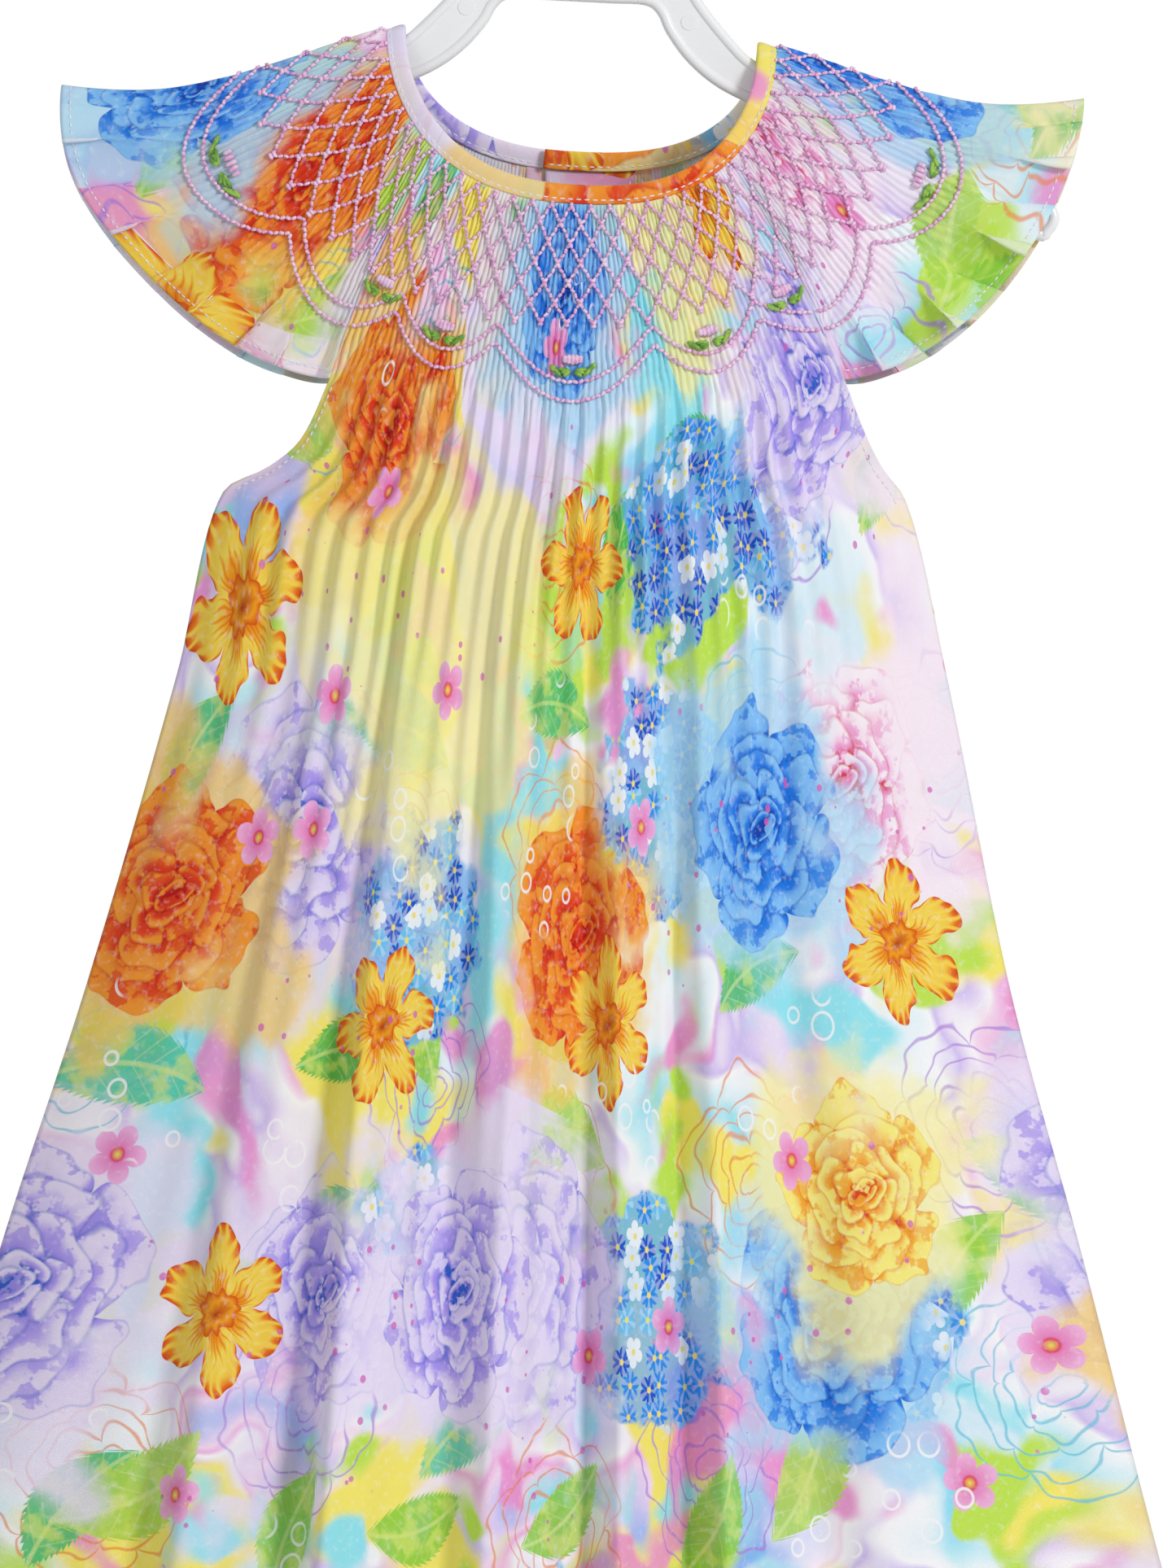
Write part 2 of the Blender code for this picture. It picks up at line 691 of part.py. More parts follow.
def hanger():
    """One-piece hanger: a flat web with a round rim, a moulded hook and two small round marks."""
    right = list(HANGER_OUTLINE)
    left = [(-x, z) for x, z in reversed(right)]
    outline = inset_outline(right + left, HANGER_RIM)
    bm = bmesh.new()
    front = [bm.verts.new((x * MM, -HANGER_WEB / 2 * MM, z * MM)) for x, z in outline]
    back = [bm.verts.new((x * MM, HANGER_WEB / 2 * MM, z * MM)) for x, z in outline]
    bm.faces.new(front)
    bm.faces.new(back)
    for k in range(len(outline)):
        after = (k + 1) % len(outline)
        bm.faces.new((front[k], front[after], back[after], back[k]))
    bmesh.ops.triangulate(bm, faces=[face for face in bm.faces if len(face.verts) > 4])
    bmesh.ops.recalc_face_normals(bm, faces=bm.faces)
    piece = finish("hanger", bm, HANGER_COLOUR, 0.3)
    rim = tube("rim", [Vector((x, 0, z)) for x, z in outline], HANGER_RIM, True)
    wire = [Vector((0, 0, HOOK_STEM_END)), Vector((0, 0, -52.0))]
    for k in range(25):
        turn = math.radians(-82.0 + (HOOK_TIP_ANGLE + 82.0) * k / 24)
        wire.append(Vector((HOOK_RADIUS * math.cos(turn), 0, HOOK_CENTRE_Z + HOOK_RADIUS * math.sin(turn))))
    hook = tube("hook", wire, HOOK_WIRE, False, 10)
    marks = []
    for x in (-45.9, 36.3):
        z = -92.7 if x < 0 else -98.3
        upright = Matrix.Rotation(math.radians(-HANGER_TILT), 3, "Y") @ Vector((x, 0, z))
        mark = bmesh.new()
        bmesh.ops.create_cone(
            mark,
            cap_ends=True,
            segments=20,
            radius1=DISC_RADIUS * MM,
            radius2=DISC_RADIUS * MM,
            depth=(HANGER_WEB + 0.6) * MM,
            matrix=Matrix.Translation(upright * MM) @ Matrix.Rotation(math.pi / 2, 4, "X"),
        )
        marks.append(finish("mark", mark, HANGER_COLOUR))
        marks[-1].hide_render = True
        marks[-1].display_type = "WIRE"
        CUTTERS.objects.link(marks[-1])
        DRESS.objects.unlink(marks[-1])
    joined(piece, [rim, hook] + marks)
    piece.rotation_euler = (0, math.radians(HANGER_TILT), 0)
    return piece


for old in list(bpy.data.objects):
    bpy.data.objects.remove(old, do_unlink=True)
DRESS = bpy.data.collections.new("smocked_dress")
CUTTERS = bpy.data.collections.new("hanger_joins")
bpy.context.scene.collection.children.link(DRESS)
bpy.context.scene.collection.children.link(CUTTERS)

hanger()
binding()
body_panel("front_panel", -1, 0, FRONT_PLEATS, CLOTH_COLOUR)
body_panel("back_left", 1, -1, BACK_PLEATS, CLOTH_COLOUR)
body_panel("back_right", 1, 1, BACK_PLEATS, CLOTH_COLOUR)
sleeve("sleeve_left", -1, CLOTH_COLOUR)
sleeve("sleeve_right", 1, CLOTH_COLOUR)
clear = WALL / 2 + SEAM_GAP + PLACKET_THICKNESS / 2
placket("placket_over", -20.0, 6.5, clear)
placket("placket_under", -13.5, 20.0, -clear)
for number, place in enumerate(BUTTON_PLACES, start=1):
    button("button_%d" % number, place, clear + PLACKET_THICKNESS / 2 + SEAM_GAP)
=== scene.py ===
"""Child's smocked dress of watercolour floral cotton on a white plastic hanger, seen from the front."""

import math

import bmesh
import bpy
import numpy as np
from mathutils import Matrix, Vector


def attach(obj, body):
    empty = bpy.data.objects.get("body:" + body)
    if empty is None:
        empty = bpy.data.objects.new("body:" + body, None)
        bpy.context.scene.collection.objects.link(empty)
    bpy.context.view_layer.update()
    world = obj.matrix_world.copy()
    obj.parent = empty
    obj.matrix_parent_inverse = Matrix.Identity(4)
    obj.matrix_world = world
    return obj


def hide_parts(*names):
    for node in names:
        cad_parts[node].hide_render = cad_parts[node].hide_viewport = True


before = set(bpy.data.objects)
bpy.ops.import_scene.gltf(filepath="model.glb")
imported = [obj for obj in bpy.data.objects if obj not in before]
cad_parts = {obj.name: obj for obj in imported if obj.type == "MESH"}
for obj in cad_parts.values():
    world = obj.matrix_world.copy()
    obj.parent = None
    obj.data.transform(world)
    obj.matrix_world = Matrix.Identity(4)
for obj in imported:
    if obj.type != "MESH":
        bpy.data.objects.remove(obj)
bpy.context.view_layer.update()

# Camera, light and floor
# The photograph looks level at the dress from the front, with flat, even light on a white ground.
VIEW_DISTANCE = 3.0
VIEW_HEIGHT = 0.5781
scene = bpy.context.scene
view = bpy.data.cameras.new("camera")
view.sensor_fit = "VERTICAL"
view.sensor_height = 24.0
view.lens = view.sensor_height * VIEW_DISTANCE / VIEW_HEIGHT
view.clip_end = 30.0
camera = bpy.data.objects.new("camera", view)
camera.location = (-0.00105, -VIEW_DISTANCE, -0.37905)
camera.rotation_euler = (math.radians(90), 0, 0)
scene.collection.objects.link(camera)
scene.camera = camera
scene.view_settings.view_transform = "Standard"

# The sky is brighter behind the dress, where it stands for the white wall.
scene.world = bpy.data.worlds.new("studio")
scene.world.use_nodes = True
air = scene.world.node_tree
split = air.nodes.new("ShaderNodeSeparateXYZ")
air.links.new(air.nodes.new("ShaderNodeTexCoord").outputs["Generated"], split.inputs[0])
wall_share = air.nodes.new("ShaderNodeMapRange")
air.links.new(split.outputs[1], wall_share.inputs[0])
for socket, value in zip(wall_share.inputs[1:5], (0.3, 0.8, 0.43, 1.0)):
    socket.default_value = value
air.nodes["Background"].inputs["Color"].default_value = (1.0, 1.0, 1.0, 1)
air.links.new(wall_share.outputs[0], air.nodes["Background"].inputs["Strength"])
for name, place, size, power in (
    ("key", (1.7, -1.9, 0.6), 0.6, 34.0),
    ("fill", (-1.6, -2.2, -0.2), 1.6, 8.0),
    ("rear", (0.6, 2.2, 0.8), 1.5, 5.0),
):
    lamp = bpy.data.lights.new(name, "AREA")
    lamp.size = size
    lamp.energy = power
    light = bpy.data.objects.new(name, lamp)
    light.location = place
    light.rotation_euler = (Vector((0, 0, -0.4)) - Vector(place)).to_track_quat("-Z", "Y").to_euler()
    scene.collection.objects.link(light)


def meshed(name, bm):
    """Mesh of the shape that was built."""
    made = bpy.data.meshes.new(name)
    bm.to_mesh(made)
    bm.free()
    return made


bm = bmesh.new()
bmesh.ops.create_circle(bm, cap_ends=True, radius=0.9, segments=96)
floor = bpy.data.objects.new("floor", meshed("floor", bm))
floor.location = (0, 0, -1.0)
scene.collection.objects.link(floor)
material = bpy.data.materials.new("floor_paint")
material.use_nodes = True
shader = material.node_tree.nodes["Principled BSDF"]
shader.inputs["Base Color"].default_value = (0.82, 0.82, 0.83, 1)
shader.inputs["Roughness"].default_value = 0.7
floor.data.materials.append(material)


# Front panel
# One width of cotton lawn, pleated and smocked to fit the neck, opening into soft gathers and broad folds
# down to the hem. The print is laid on the flat cloth, so the pleats squeeze it into streaks.
MM = 0.001
NECK_X = -3.45
NECK_HALF = 68.25
NECK_LEFT_Z = -100.5
NECK_RIGHT_Z = -107.0
NECK_DROP = {-1: 60.0, 1: 44.0}
NECK_DEPTH = {-1: 28.0, 1: 26.0}
NECK_POWER = 0.8
YOKE_START = 1.9
YOKE_STOP = 73.4
YOKE_SPREAD = 0.22
BULGE = 3.0
BAND = 20.0
BAND_SHARE = 0.1
SIDEMOST = 0.985
FRONT_PLEATS = 80

# Side edges: distance below the neck, left x and z, right x and z, depth of the edge, in mm.
SIDE_EDGES = np.array(
    (
        (73.4, -95.4, -230.4, 92.7, -230.7, 17.5),
        (98.4, -107.0, -253.0, 101.0, -251.0, 11.0),
        (113.4, -119.0, -262.5, 107.5, -263.0, 6.0),
        (126.4, -135.3, -270.5, 116.0, -274.0, 0.15),
        (173.4, -152.5, -337.0, 131.0, -337.0, 0.15),
        (291.4, -187.0, -455.0, 155.0, -455.0, 0.15),
        (387.4, -218.5, -551.0, 181.0, -551.0, 0.15),
        (502.4, -252.0, -666.0, 210.5, -666.0, 0.15),
        (558.4, -269.0, -722.0, 226.0, -722.0, 0.15),
    )
)

# Middle line: distance below the neck, x, front z and depth, back z and depth, in mm.
MIDDLES = np.array(
    (
        (0.0, -3.45, -163.8, 28.0, -147.8, 26.0),
        (73.4, -4.5, -237.2, 33.0, -226.0, 31.0),
        (126.4, -8.0, -290.2, 36.0, -288.0, 35.0),
        (173.4, -10.8, -337.0, 38.0, -337.0, 37.0),
        (291.4, -16.0, -455.0, 43.0, -455.0, 41.0),
        (387.4, -18.7, -551.0, 47.0, -551.0, 44.0),
        (502.4, -20.7, -666.0, 51.0, -666.0, 47.0),
        (558.4, -21.5, -722.0, 53.0, -722.0, 49.0),
    )
)

# Gathers and broad folds: distance below the neck, height of each, in mm.
FOLD_HEIGHTS = np.array(
    (
        (73.4, 0.5, 0.0),
        (86.0, 1.3, 0.2),
        (98.4, 1.9, 0.5),
        (126.4, 2.0, 1.2),
        (173.4, 1.4, 2.6),
        (291.4, 0.5, 5.2),
        (387.4, 0.2, 7.0),
        (502.4, 0.0, 8.5),
        (558.4, 0.0, 9.0),
    )
)

# Cloth of a panel on the flat: distance below the neck, half width in mm, share drawn round to the side edge.
FLAT_WIDTHS = np.array(
    ((0.0, 200.0, 0.0), (73.4, 200.0, 0.0), (126.4, 240.0, 0.12), (291.4, 262.0, 0.22), (558.4, 285.0, 0.28))
)


def smooth(value):
    """Eases 0 to 1 and holds outside."""
    value = np.clip(value, 0.0, 1.0)
    return value * value * (3.0 - 2.0 * value)


def follow(table, place):
    """Columns of a table at given places, eased through its rows without overshoot."""
    x = table[:, 0]
    y = table[:, 1:]
    step = np.diff(x)
    rise = np.diff(y, axis=0) / step[:, None]
    total = rise[:-1] + rise[1:]
    product = rise[:-1] * rise[1:]
    slope = np.empty_like(y)
    slope[0], slope[-1] = rise[0], rise[-1]
    slope[1:-1] = np.where(product > 0, 2 * product / np.where(total == 0, 1, total), 0)
    place = np.asarray(place, float)
    k = np.clip(np.searchsorted(x, place, side="right") - 1, 0, len(step) - 1)
    part = np.clip((place - x[k]) / step[k], 0.0, 1.0)[..., None]
    bend = slope[k] * part * (1 - part) ** 2 - slope[k + 1] * (1 - part) * part**2
    level = y[k] * (1 + 2 * part) * (1 - part) ** 2 + y[k + 1] * (3 - 2 * part) * part**2
    return level + step[k][..., None] * bend


def unit(vectors):
    """Vectors brought to length 1."""
    return vectors / np.maximum(np.linalg.norm(vectors, axis=-1, keepdims=True), 1e-9)


def run_along(points):
    """Length along a line to each of its points."""
    return np.concatenate([[0.0], np.cumsum(np.linalg.norm(np.diff(points, axis=0), axis=1))])


def between(places, lengths, values):
    """Values at places on a line, from the values at given lengths along it."""
    return np.stack([np.interp(places, lengths, values[:, axis]) for axis in range(3)], -1)


def neck(angle):
    """Points of the neck line at angles in degrees: 0 is the right shoulder and 270 the front."""
    across = np.cos(np.radians(angle))
    along = np.sin(np.radians(angle))
    x = NECK_X + NECK_HALF * np.sign(across) * np.abs(across) ** NECK_POWER
    shoulder = NECK_LEFT_Z + (NECK_RIGHT_Z - NECK_LEFT_Z) * (x - NECK_X + NECK_HALF) / (2 * NECK_HALF)
    drop, depth = (np.where(along < 0, sizes[-1], sizes[1]) for sizes in (NECK_DROP, NECK_DEPTH))
    y = np.sign(along) * np.abs(along) ** NECK_POWER * depth
    return np.stack([x, y, shoulder - np.abs(along) * drop], -1)


def measured_arc(start, turn):
    """Stretch of the neck line as its points and the length to each."""
    points = neck(np.linspace(start, start + turn, 321))
    return points, run_along(points)


# Each half of the front (-1) and back (1), and each half of a sleeve, takes up an eighth of a turn.
ARCS = {}
for side in (-1, 1):
    for face, middle in ((-1, 270), (1, 90)):
        ARCS[face, side] = measured_arc(middle, -45 * side * face)
        ARCS["sleeve", side, face] = measured_arc(270 + 90 * side, 45 * side * face)


def on_arc(key, distance):
    """Points of a stretch of the neck line at distances along it."""
    points, lengths = ARCS[key]
    return between(distance, lengths, points)


def past_band(u):
    """Share of the back's half past its ungathered band."""
    return np.maximum(0.0, (np.abs(u) - BAND_SHARE) / (1 - BAND_SHARE))


def spread(face, part, total):
    """Distance from the middle: the back keeps an ungathered band for its placket."""
    if face < 0:
        return part * total
    return np.where(part < BAND_SHARE, BAND * part / BAND_SHARE, BAND + past_band(part) * (total - BAND))


def body_half(face, side, part, s):
    """Front (face -1) or back (face 1) surface on one side of the middle, before its fit to the neck."""
    wide, high = (1, 2) if side < 0 else (3, 4)
    top = SIDE_EDGES[0]
    share = np.clip(s / YOKE_STOP, 0, 1)[..., None]
    start = ARCS[face, side][0][-1]
    end = np.array((top[wide], face * top[5], top[high]))
    bulge = side * BULGE * np.sin(np.pi * share) * np.array((1.0, 0.0, 0.0))
    row = follow(SIDE_EDGES, s)
    low = np.stack([row[..., wide - 1], face * row[..., 4], row[..., high - 1]], -1)
    edge = np.where((s < YOKE_STOP)[..., None], start + (end - start) * share + bulge, low)
    middle_x, *columns = np.moveaxis(follow(MIDDLES, s), -1, 0)
    middle_z, depth = columns[:2] if face < 0 else columns[2:]
    width = np.abs(edge[..., 0] - middle_x)
    out = spread(face, part, width)
    share = np.clip(out / width, 0, 1)
    deep = np.abs(edge[..., 1]) + (depth - np.abs(edge[..., 1])) * (1 - share**2.2)
    z = edge[..., 2] + (middle_z - edge[..., 2]) * (1 - share**2)
    return np.stack([middle_x + side * out, face * deep, z], -1)


def body_base(face, u, s):
    """Front or back surface: u is -1 at the left edge and 1 at the right, s the distance below the neck."""
    u = np.asarray(u, float)
    s = np.broadcast_to(np.asarray(s, float), u.shape)
    part = np.abs(u)
    ease = ((1 - np.clip(s / YOKE_STOP, 0, 1)) ** 2)[..., None]
    points = {}
    for side in (-1, 1):
        length = ARCS[face, side][1][-1]
        fit = on_arc((face, side), spread(face, part, length)) - body_half(face, side, part, 0 * s)
        points[side] = body_half(face, side, part, s) + fit * ease
    return np.where((u < 0)[..., None], points[-1], points[1])


def normals_of(base, a, b, step_a, step_b, outward):
    """Unit normals of a surface, on its outer side."""
    across = base(a + step_a, b) - base(a - step_a, b)
    down = base(a, b + step_b) - base(a, b - step_b)
    normal = unit(np.cross(across, down))
    side = np.sign(np.sum(normal * outward, axis=-1, keepdims=True))
    return normal * np.where(side == 0, 1, side)


def body_normal(face, u, s):
    """Unit normals of the front or back."""
    inner = np.clip(u, -SIDEMOST, SIDEMOST)
    outward = np.stack([0.3 * inner, face + 0 * inner, 0 * inner], -1)
    return normals_of(lambda a, b: body_base(face, a, b), inner, s, 0.008, 0.5, outward)


def drawn_round(u, s):
    """Column of the surface for a column of the cloth: more cloth lies near the side edges."""
    share = follow(FLAT_WIDTHS, s)[..., 1]
    return (1 - share) * u + share * np.sign(u) * np.abs(u) ** 3.5


def flat_place(u, s):
    """Place on the flat cloth, in metres, for the print and the weave."""
    return np.stack([u * follow(FLAT_WIDTHS, s)[..., 0] * MM, 1.0 - s * MM], -1)


def pleat_wave(phase, distance, limit):
    """Rounded pleats with narrow valleys: full height down to the last row of smocking, gone 34 mm below."""
    ridge = np.abs(np.cos(np.pi * phase)) ** 0.7
    height = 1 - smooth((distance - limit) / 34.0)
    uneven = 1 + 0.12 * np.sin(phase * 2.4) + 0.1 * np.sin(phase * 0.71 + 1)
    tucked = smooth((distance - 3.4) / 2.2)
    return height * (1.35 * ridge * uneven - 0.45) * tucked - 0.35 * (1 - tucked)


def scallop_line(place, deep):
    """Distance of the upper scalloped row from the neck: place counts scallops, deep is their drop."""
    swing = np.abs(2 * (place - np.floor(place)) - 1)
    return 50.0 + deep * (1 - swing**1.9)


def front_scallops(u):
    """Upper scalloped row on the front: the middle scallop is the deepest."""
    place = np.interp(u, (-1.0, -0.82, -0.365, 0.31, 0.76, 1.0), (-0.36, 0.0, 1.0, 2.0, 3.0, 3.36))
    return scallop_line(place, 14.0 + 5.0 * np.exp(-(((u + 0.03) / 0.3) ** 4)))


def fold_height(face, u, s):
    """How far gathers, broad folds and small creases move the cloth outwards, in mm."""
    gather, fold = np.moveaxis(follow(FOLD_HEIGHTS, s), -1, 0)
    calm = (1 - np.abs(u) ** 6) * (s >= YOKE_STOP)
    across = u + 1
    if face > 0:
        across = past_band(u)
        calm = calm * smooth(across / 0.06)
    gathers = (10 if face > 0 else 14) * across
    drift = 0.35 * np.sin(s / 61 + 5 * u) * smooth((s - 90) / 120)
    uneven = 1 + 0.25 * np.sin(9.1 * u + face) + 0.15 * np.sin(4.3 * u + s / 130)
    wave = -gather * np.cos(math.tau * (gathers + drift)) * (1 + 0.3 * np.sin(17 * u + s / 40))
    folds = math.tau * 3.6 * across
    turn = folds + 0.8 * np.sin(7 * u + 2 * face) + 0.4 * np.sin(s / 95 + 3 * u)
    broad = fold * uneven * (np.sin(turn) + 0.42 * np.sin(2 * turn) + 0.14 * np.sin(3 * turn)) / 1.2
    crease = fold * 0.14 * np.sin(folds * 2.6 + s / 70 + 1.7 * np.sin(5 * u))
    small = 0.35 * np.sin(23 * u + s / 17) * np.sin(s / 29 + 11 * u) * smooth((s - 110) / 60)
    return (wave + broad + crease + small) * calm


def pleat_height(u, s, scallops, pleats):
    """How far the pleats raise the cloth, in mm: the folds take over below the smocking."""
    raised = 0.75 + pleat_wave(pleats(u, s), s * (1 + YOKE_SPREAD * u**2), scallops(u) + 9.0)
    return raised * (1 - smooth((s - YOKE_STOP) / 60))


def body_cloth(face, u, s, offset, scallops, pleats):
    """Points and normals of the finished front or back, in mm, with an offset outwards."""
    column = drawn_round(u, s)
    normal = body_normal(face, column, s)
    lift = pleat_height(u, s, scallops, pleats) + fold_height(face, u, s) + offset
    return body_base(face, column, s) + normal * lift[..., None], normal


def waver(u, s):
    """How far a pleat strays from its line between the stitches, as a share of a pleat."""
    return (0.12 * np.sin(s / 2.4 + 3 * np.sin(u * 19)) + 0.1 * np.sin(s / 6.1 + 40 * u)) * smooth(s / 10)


def front_pleats(u, s):
    """Which pleat a column of the front is in."""
    return (u + 1) * FRONT_PLEATS / 2 + waver(u, s)


def cloth_mesh(name, columns, rows, doubled, mapping, uv):
    """Sheet from a grid whose column and row places are mapped to points, its smocked rows twice as fine."""
    bm = bmesh.new()
    bmesh.ops.create_grid(bm, x_segments=columns, y_segments=len(rows) - 1, size=0.5)
    for vert in bm.verts:
        vert.co.x = (vert.co.x + 0.5) * columns
        vert.co.y = (vert.co.y + 0.5) * (len(rows) - 1)
    ends = [(edge, *(vert.co.y for vert in edge.verts)) for edge in bm.edges]
    fine = [edge for edge, a, b in ends if abs(a - b) < 0.01 and a < doubled + 0.01]
    bmesh.ops.subdivide_edges(bm, edges=fine, cuts=1)
    places = np.array([vert.co[:2] for vert in bm.verts])
    part = places[:, 0] / columns
    row = np.interp(places[:, 1], np.arange(len(rows)), rows)
    points = mapping(part, row) * MM
    flat = uv(part, row)
    layer = bm.loops.layers.uv.new("cloth")
    for k, vert in enumerate(bm.verts):
        vert.co = points[k]
        vert.index = k
    for face in bm.faces:
        face.smooth = True
        for loop in face.loops:
            loop[layer].uv = flat[loop.vert.index]
    return meshed(name, bm)


def shown_piece(name, mesh, materials, thickness=0.0):
    """Object of a mesh with its materials, as a thin shell if it has a thickness in mm."""
    piece = bpy.data.objects.new(name, mesh)
    scene.collection.objects.link(piece)
    for material in materials:
        mesh.materials.append(material)
    if thickness:
        shell = piece.modifiers.new("cloth", "SOLIDIFY")
        shell.thickness = thickness * MM
        shell.offset = -1.0
        shell.use_even_offset = False
        shell.material_offset = 1
        shell.material_offset_rim = 0
    return piece


# Dyes and grains are made of nodes: a node's output takes part in formulas, and each step adds a node.
class Paint:
    def __init__(self, tree, socket):
        self.tree = tree
        self.socket = socket

    def math(self, operation, *others):
        return node(self.tree, "Math", dict(enumerate((self, *others))), operation=operation)

    def __add__(self, other):
        return self.math("ADD", other)

    def __sub__(self, other):
        return self.math("SUBTRACT", other)

    def __rsub__(self, other):
        return node(self.tree, "Math", {0: other, 1: self}, operation="SUBTRACT")

    def __mul__(self, other):
        return self.math("MULTIPLY", other)

    def __truediv__(self, other):
        return self.math("DIVIDE", other)

    def __pow__(self, other):
        return self.math("POWER", other)

    def __gt__(self, other):
        return self.math("GREATER_THAN", other)

    def __abs__(self):
        return self.math("ABSOLUTE")

    def fit(self, factor, shift):
        """The value times a factor, plus a shift."""
        return self.math("MULTIPLY_ADD", factor, shift)

    def ease(self, low, high):
        """0 at low and 1 at high, with a smooth step between."""
        ends = {0: self, 1: low, 2: high, 3: 0.0, 4: 1.0}
        return node(self.tree, "MapRange", ends, interpolation_type="SMOOTHSTEP")

    def moved(self, step):
        return node(self.tree, "VectorMath", {0: self, 1: step}, operation="ADD")

    def scaled(self, factor):
        return node(self.tree, "VectorMath", {0: self, "Scale": factor}, operation="SCALE")

    def length(self):
        return node(self.tree, "VectorMath", {0: self}, 1, operation="LENGTH")

    def split(self, kind="XYZ"):
        return node(self.tree, "Separate" + kind, {0: self}, None)

    def polar(self):
        """Distance and angle of a place from the middle of a motif."""
        x, y, _ = self.split()
        return self.length(), y.math("ARCTAN2", x)

    def noise(self, scale, detail=2.0, output=0, **more):
        return node(self.tree, "TexNoise", {"Vector": self, "Scale": scale, "Detail": detail, **more}, output)

    def wavered(self, scale, amount, detail=2.0, **more):
        """A place pushed about by noise, so that painted edges waver."""
        push = self.noise(scale, detail, 1, **more).moved((-0.5, -0.5, -0.5))
        return self.moved(push.scaled(amount))

    def ramp(self, stops, mode="LINEAR"):
        """Colour at the value, from stops of a place and a colour each."""
        stops = tuple(stops)
        made = self.tree.nodes.new("ShaderNodeValToRGB")
        made.color_ramp.interpolation = mode
        while len(made.color_ramp.elements) < len(stops):
            made.color_ramp.elements.new(0.5)
        for element, (place, colour) in zip(made.color_ramp.elements, stops):
            element.position = place
            element.color = (*colour, 1.0)
        fill(made, {0: self})
        return Paint(self.tree, made.outputs[0])

    def steps(self, stops):
        return self.ramp(stops, "CONSTANT")

    def over(self, colour, share):
        """This colour over another one, by a share."""
        return node(self.tree, "Mix", {0: share, 6: colour, 7: self}, 2, data_type="RGBA")

    def under(self, colour, share):
        """This colour under a plain one."""
        return node(self.tree, "Mix", {0: share, 6: self, 7: (*colour, 1.0)}, 2, data_type="RGBA")

    def tint(self, low, high):
        """Colour between two plain ones, at the value."""
        return node(self.tree, "Mix", {0: self, 6: (*low, 1.0), 7: (*high, 1.0)}, 2, data_type="RGBA")

    def bump(self, strength, distance):
        """Normals of a surface raised by the value."""
        return node(self.tree, "Bump", {"Height": self, "Strength": strength, "Distance": distance})


def fill(made, values):
    """Sets or joins the inputs of a node."""
    for key, value in values.items():
        if isinstance(value, Paint):
            value.tree.links.new(value.socket, made.inputs[key])
        else:
            made.inputs[key].default_value = value


def node(tree, kind, inputs, output=0, **settings):
    """Adds a node and gives one of its outputs, or all of them."""
    made = tree.nodes.new("ShaderNode" + kind)
    for key, value in settings.items():
        setattr(made, key, value)
    fill(made, inputs)
    found = [Paint(tree, socket) for socket in made.outputs]
    return found if output is None else found[output]


def group(name, inputs, outputs):
    """New node group with named inputs and outputs; gives its tree and its inputs by name."""
    tree = bpy.data.node_groups.new(name, "ShaderNodeTree")
    for way, labels in (("INPUT", inputs), ("OUTPUT", outputs)):
        for label, kind in labels.items():
            tree.interface.new_socket(name=label, in_out=way, socket_type="NodeSocket" + kind)
    start = tree.nodes.new("NodeGroupInput")
    return tree, {label: Paint(tree, start.outputs[label]) for label in inputs}


def shaded(name, paints):
    """New material whose shader takes the values and outputs that a function of its node tree gives."""
    material = bpy.data.materials.new(name)
    material.use_nodes = True
    fill(material.node_tree.nodes["Principled BSDF"], paints(material.node_tree))
    return material


# Full rose: rings of ruffled petals, each darker at its root and lighter at its edge, and its drawn outline.
colours = {"Edge colour": "Color", "Petal colour": "Color", "Heart colour": "Color"}
rose, given = group(
    "full rose",
    {"Place": "Vector", "Turn": "Float", **colours},
    {"Colour": "Color", "Cover": "Float", "Line": "Float"},
)
distance, angle = given["Place"].wavered(2.2, 0.46, 1.0).polar()
angle = angle + given["Turn"]
colour = None
for radius, petals, phase in (
    (0.92, 5, 0.0),
    (0.74, 5, 0.9),
    (0.56, 4, 0.4),
    (0.41, 4, 1.3),
    (0.27, 3, 0.5),
    (0.15, 3, 1.8),
):
    lobe = abs(angle.fit(petals / 2, phase).math("COSINE"))
    reach = (lobe**0.5).fit(0.24, 0.78) * radius
    inside = (reach - distance).ease(-0.008, 0.012)
    cleft = (1.0 - lobe.ease(0.0, 0.35)) * 0.7
    tone = (distance / reach).ease(0.45, 1.0) - cleft
    petal = given["Petal colour"].over(given["Heart colour"], tone.ease(0.0, 0.55))
    petal = given["Edge colour"].over(petal, tone.ease(0.5, 1.0))
    rim = 1.0 - abs(reach - distance).ease(0.004, 0.020)
    if colour is None:
        colour, cover, line = petal, inside, rim
    else:
        colour = petal.over(colour, inside)
        line = line.math("MAXIMUM", rim)
fill(rose.nodes.new("NodeGroupOutput"), {"Colour": colour, "Cover": cover, "Line": line})

# Trumpet flower: six pointed petals round a ruffled cup, outlined and veined.
trumpet, given = group(
    "trumpet flower", {"Place": "Vector", "Turn": "Float"}, {"Colour": "Color", "Cover": "Float"}
)
distance, angle = given["Place"].wavered(2.5, 0.34, 1.0).polar()
angle = angle + given["Turn"]
lobe = abs((angle * 3.0).math("COSINE"))
reach = (lobe**0.75).fit(0.56, 0.40)
veins = abs((angle * 21.0).math("SINE")) ** 6.0 * 0.18
petal = (distance / reach - veins).ramp(
    (
        (0.0, (0.70, 0.06, 0.005)),
        (0.34, (0.90, 0.34, 0.01)),
        (0.52, (0.94, 0.72, 0.10)),
        (0.80, (0.93, 0.60, 0.06)),
        (0.90, (0.86, 0.20, 0.01)),
        (1.0, (0.62, 0.03, 0.005)),
    )
)
cup = (angle * 9.0).math("SINE").fit(0.03, 0.27)
stops = ((0.0, (0.45, 0.02, 0.0)), (0.6, (0.92, 0.36, 0.01)), (1.0, (0.66, 0.04, 0.0)))
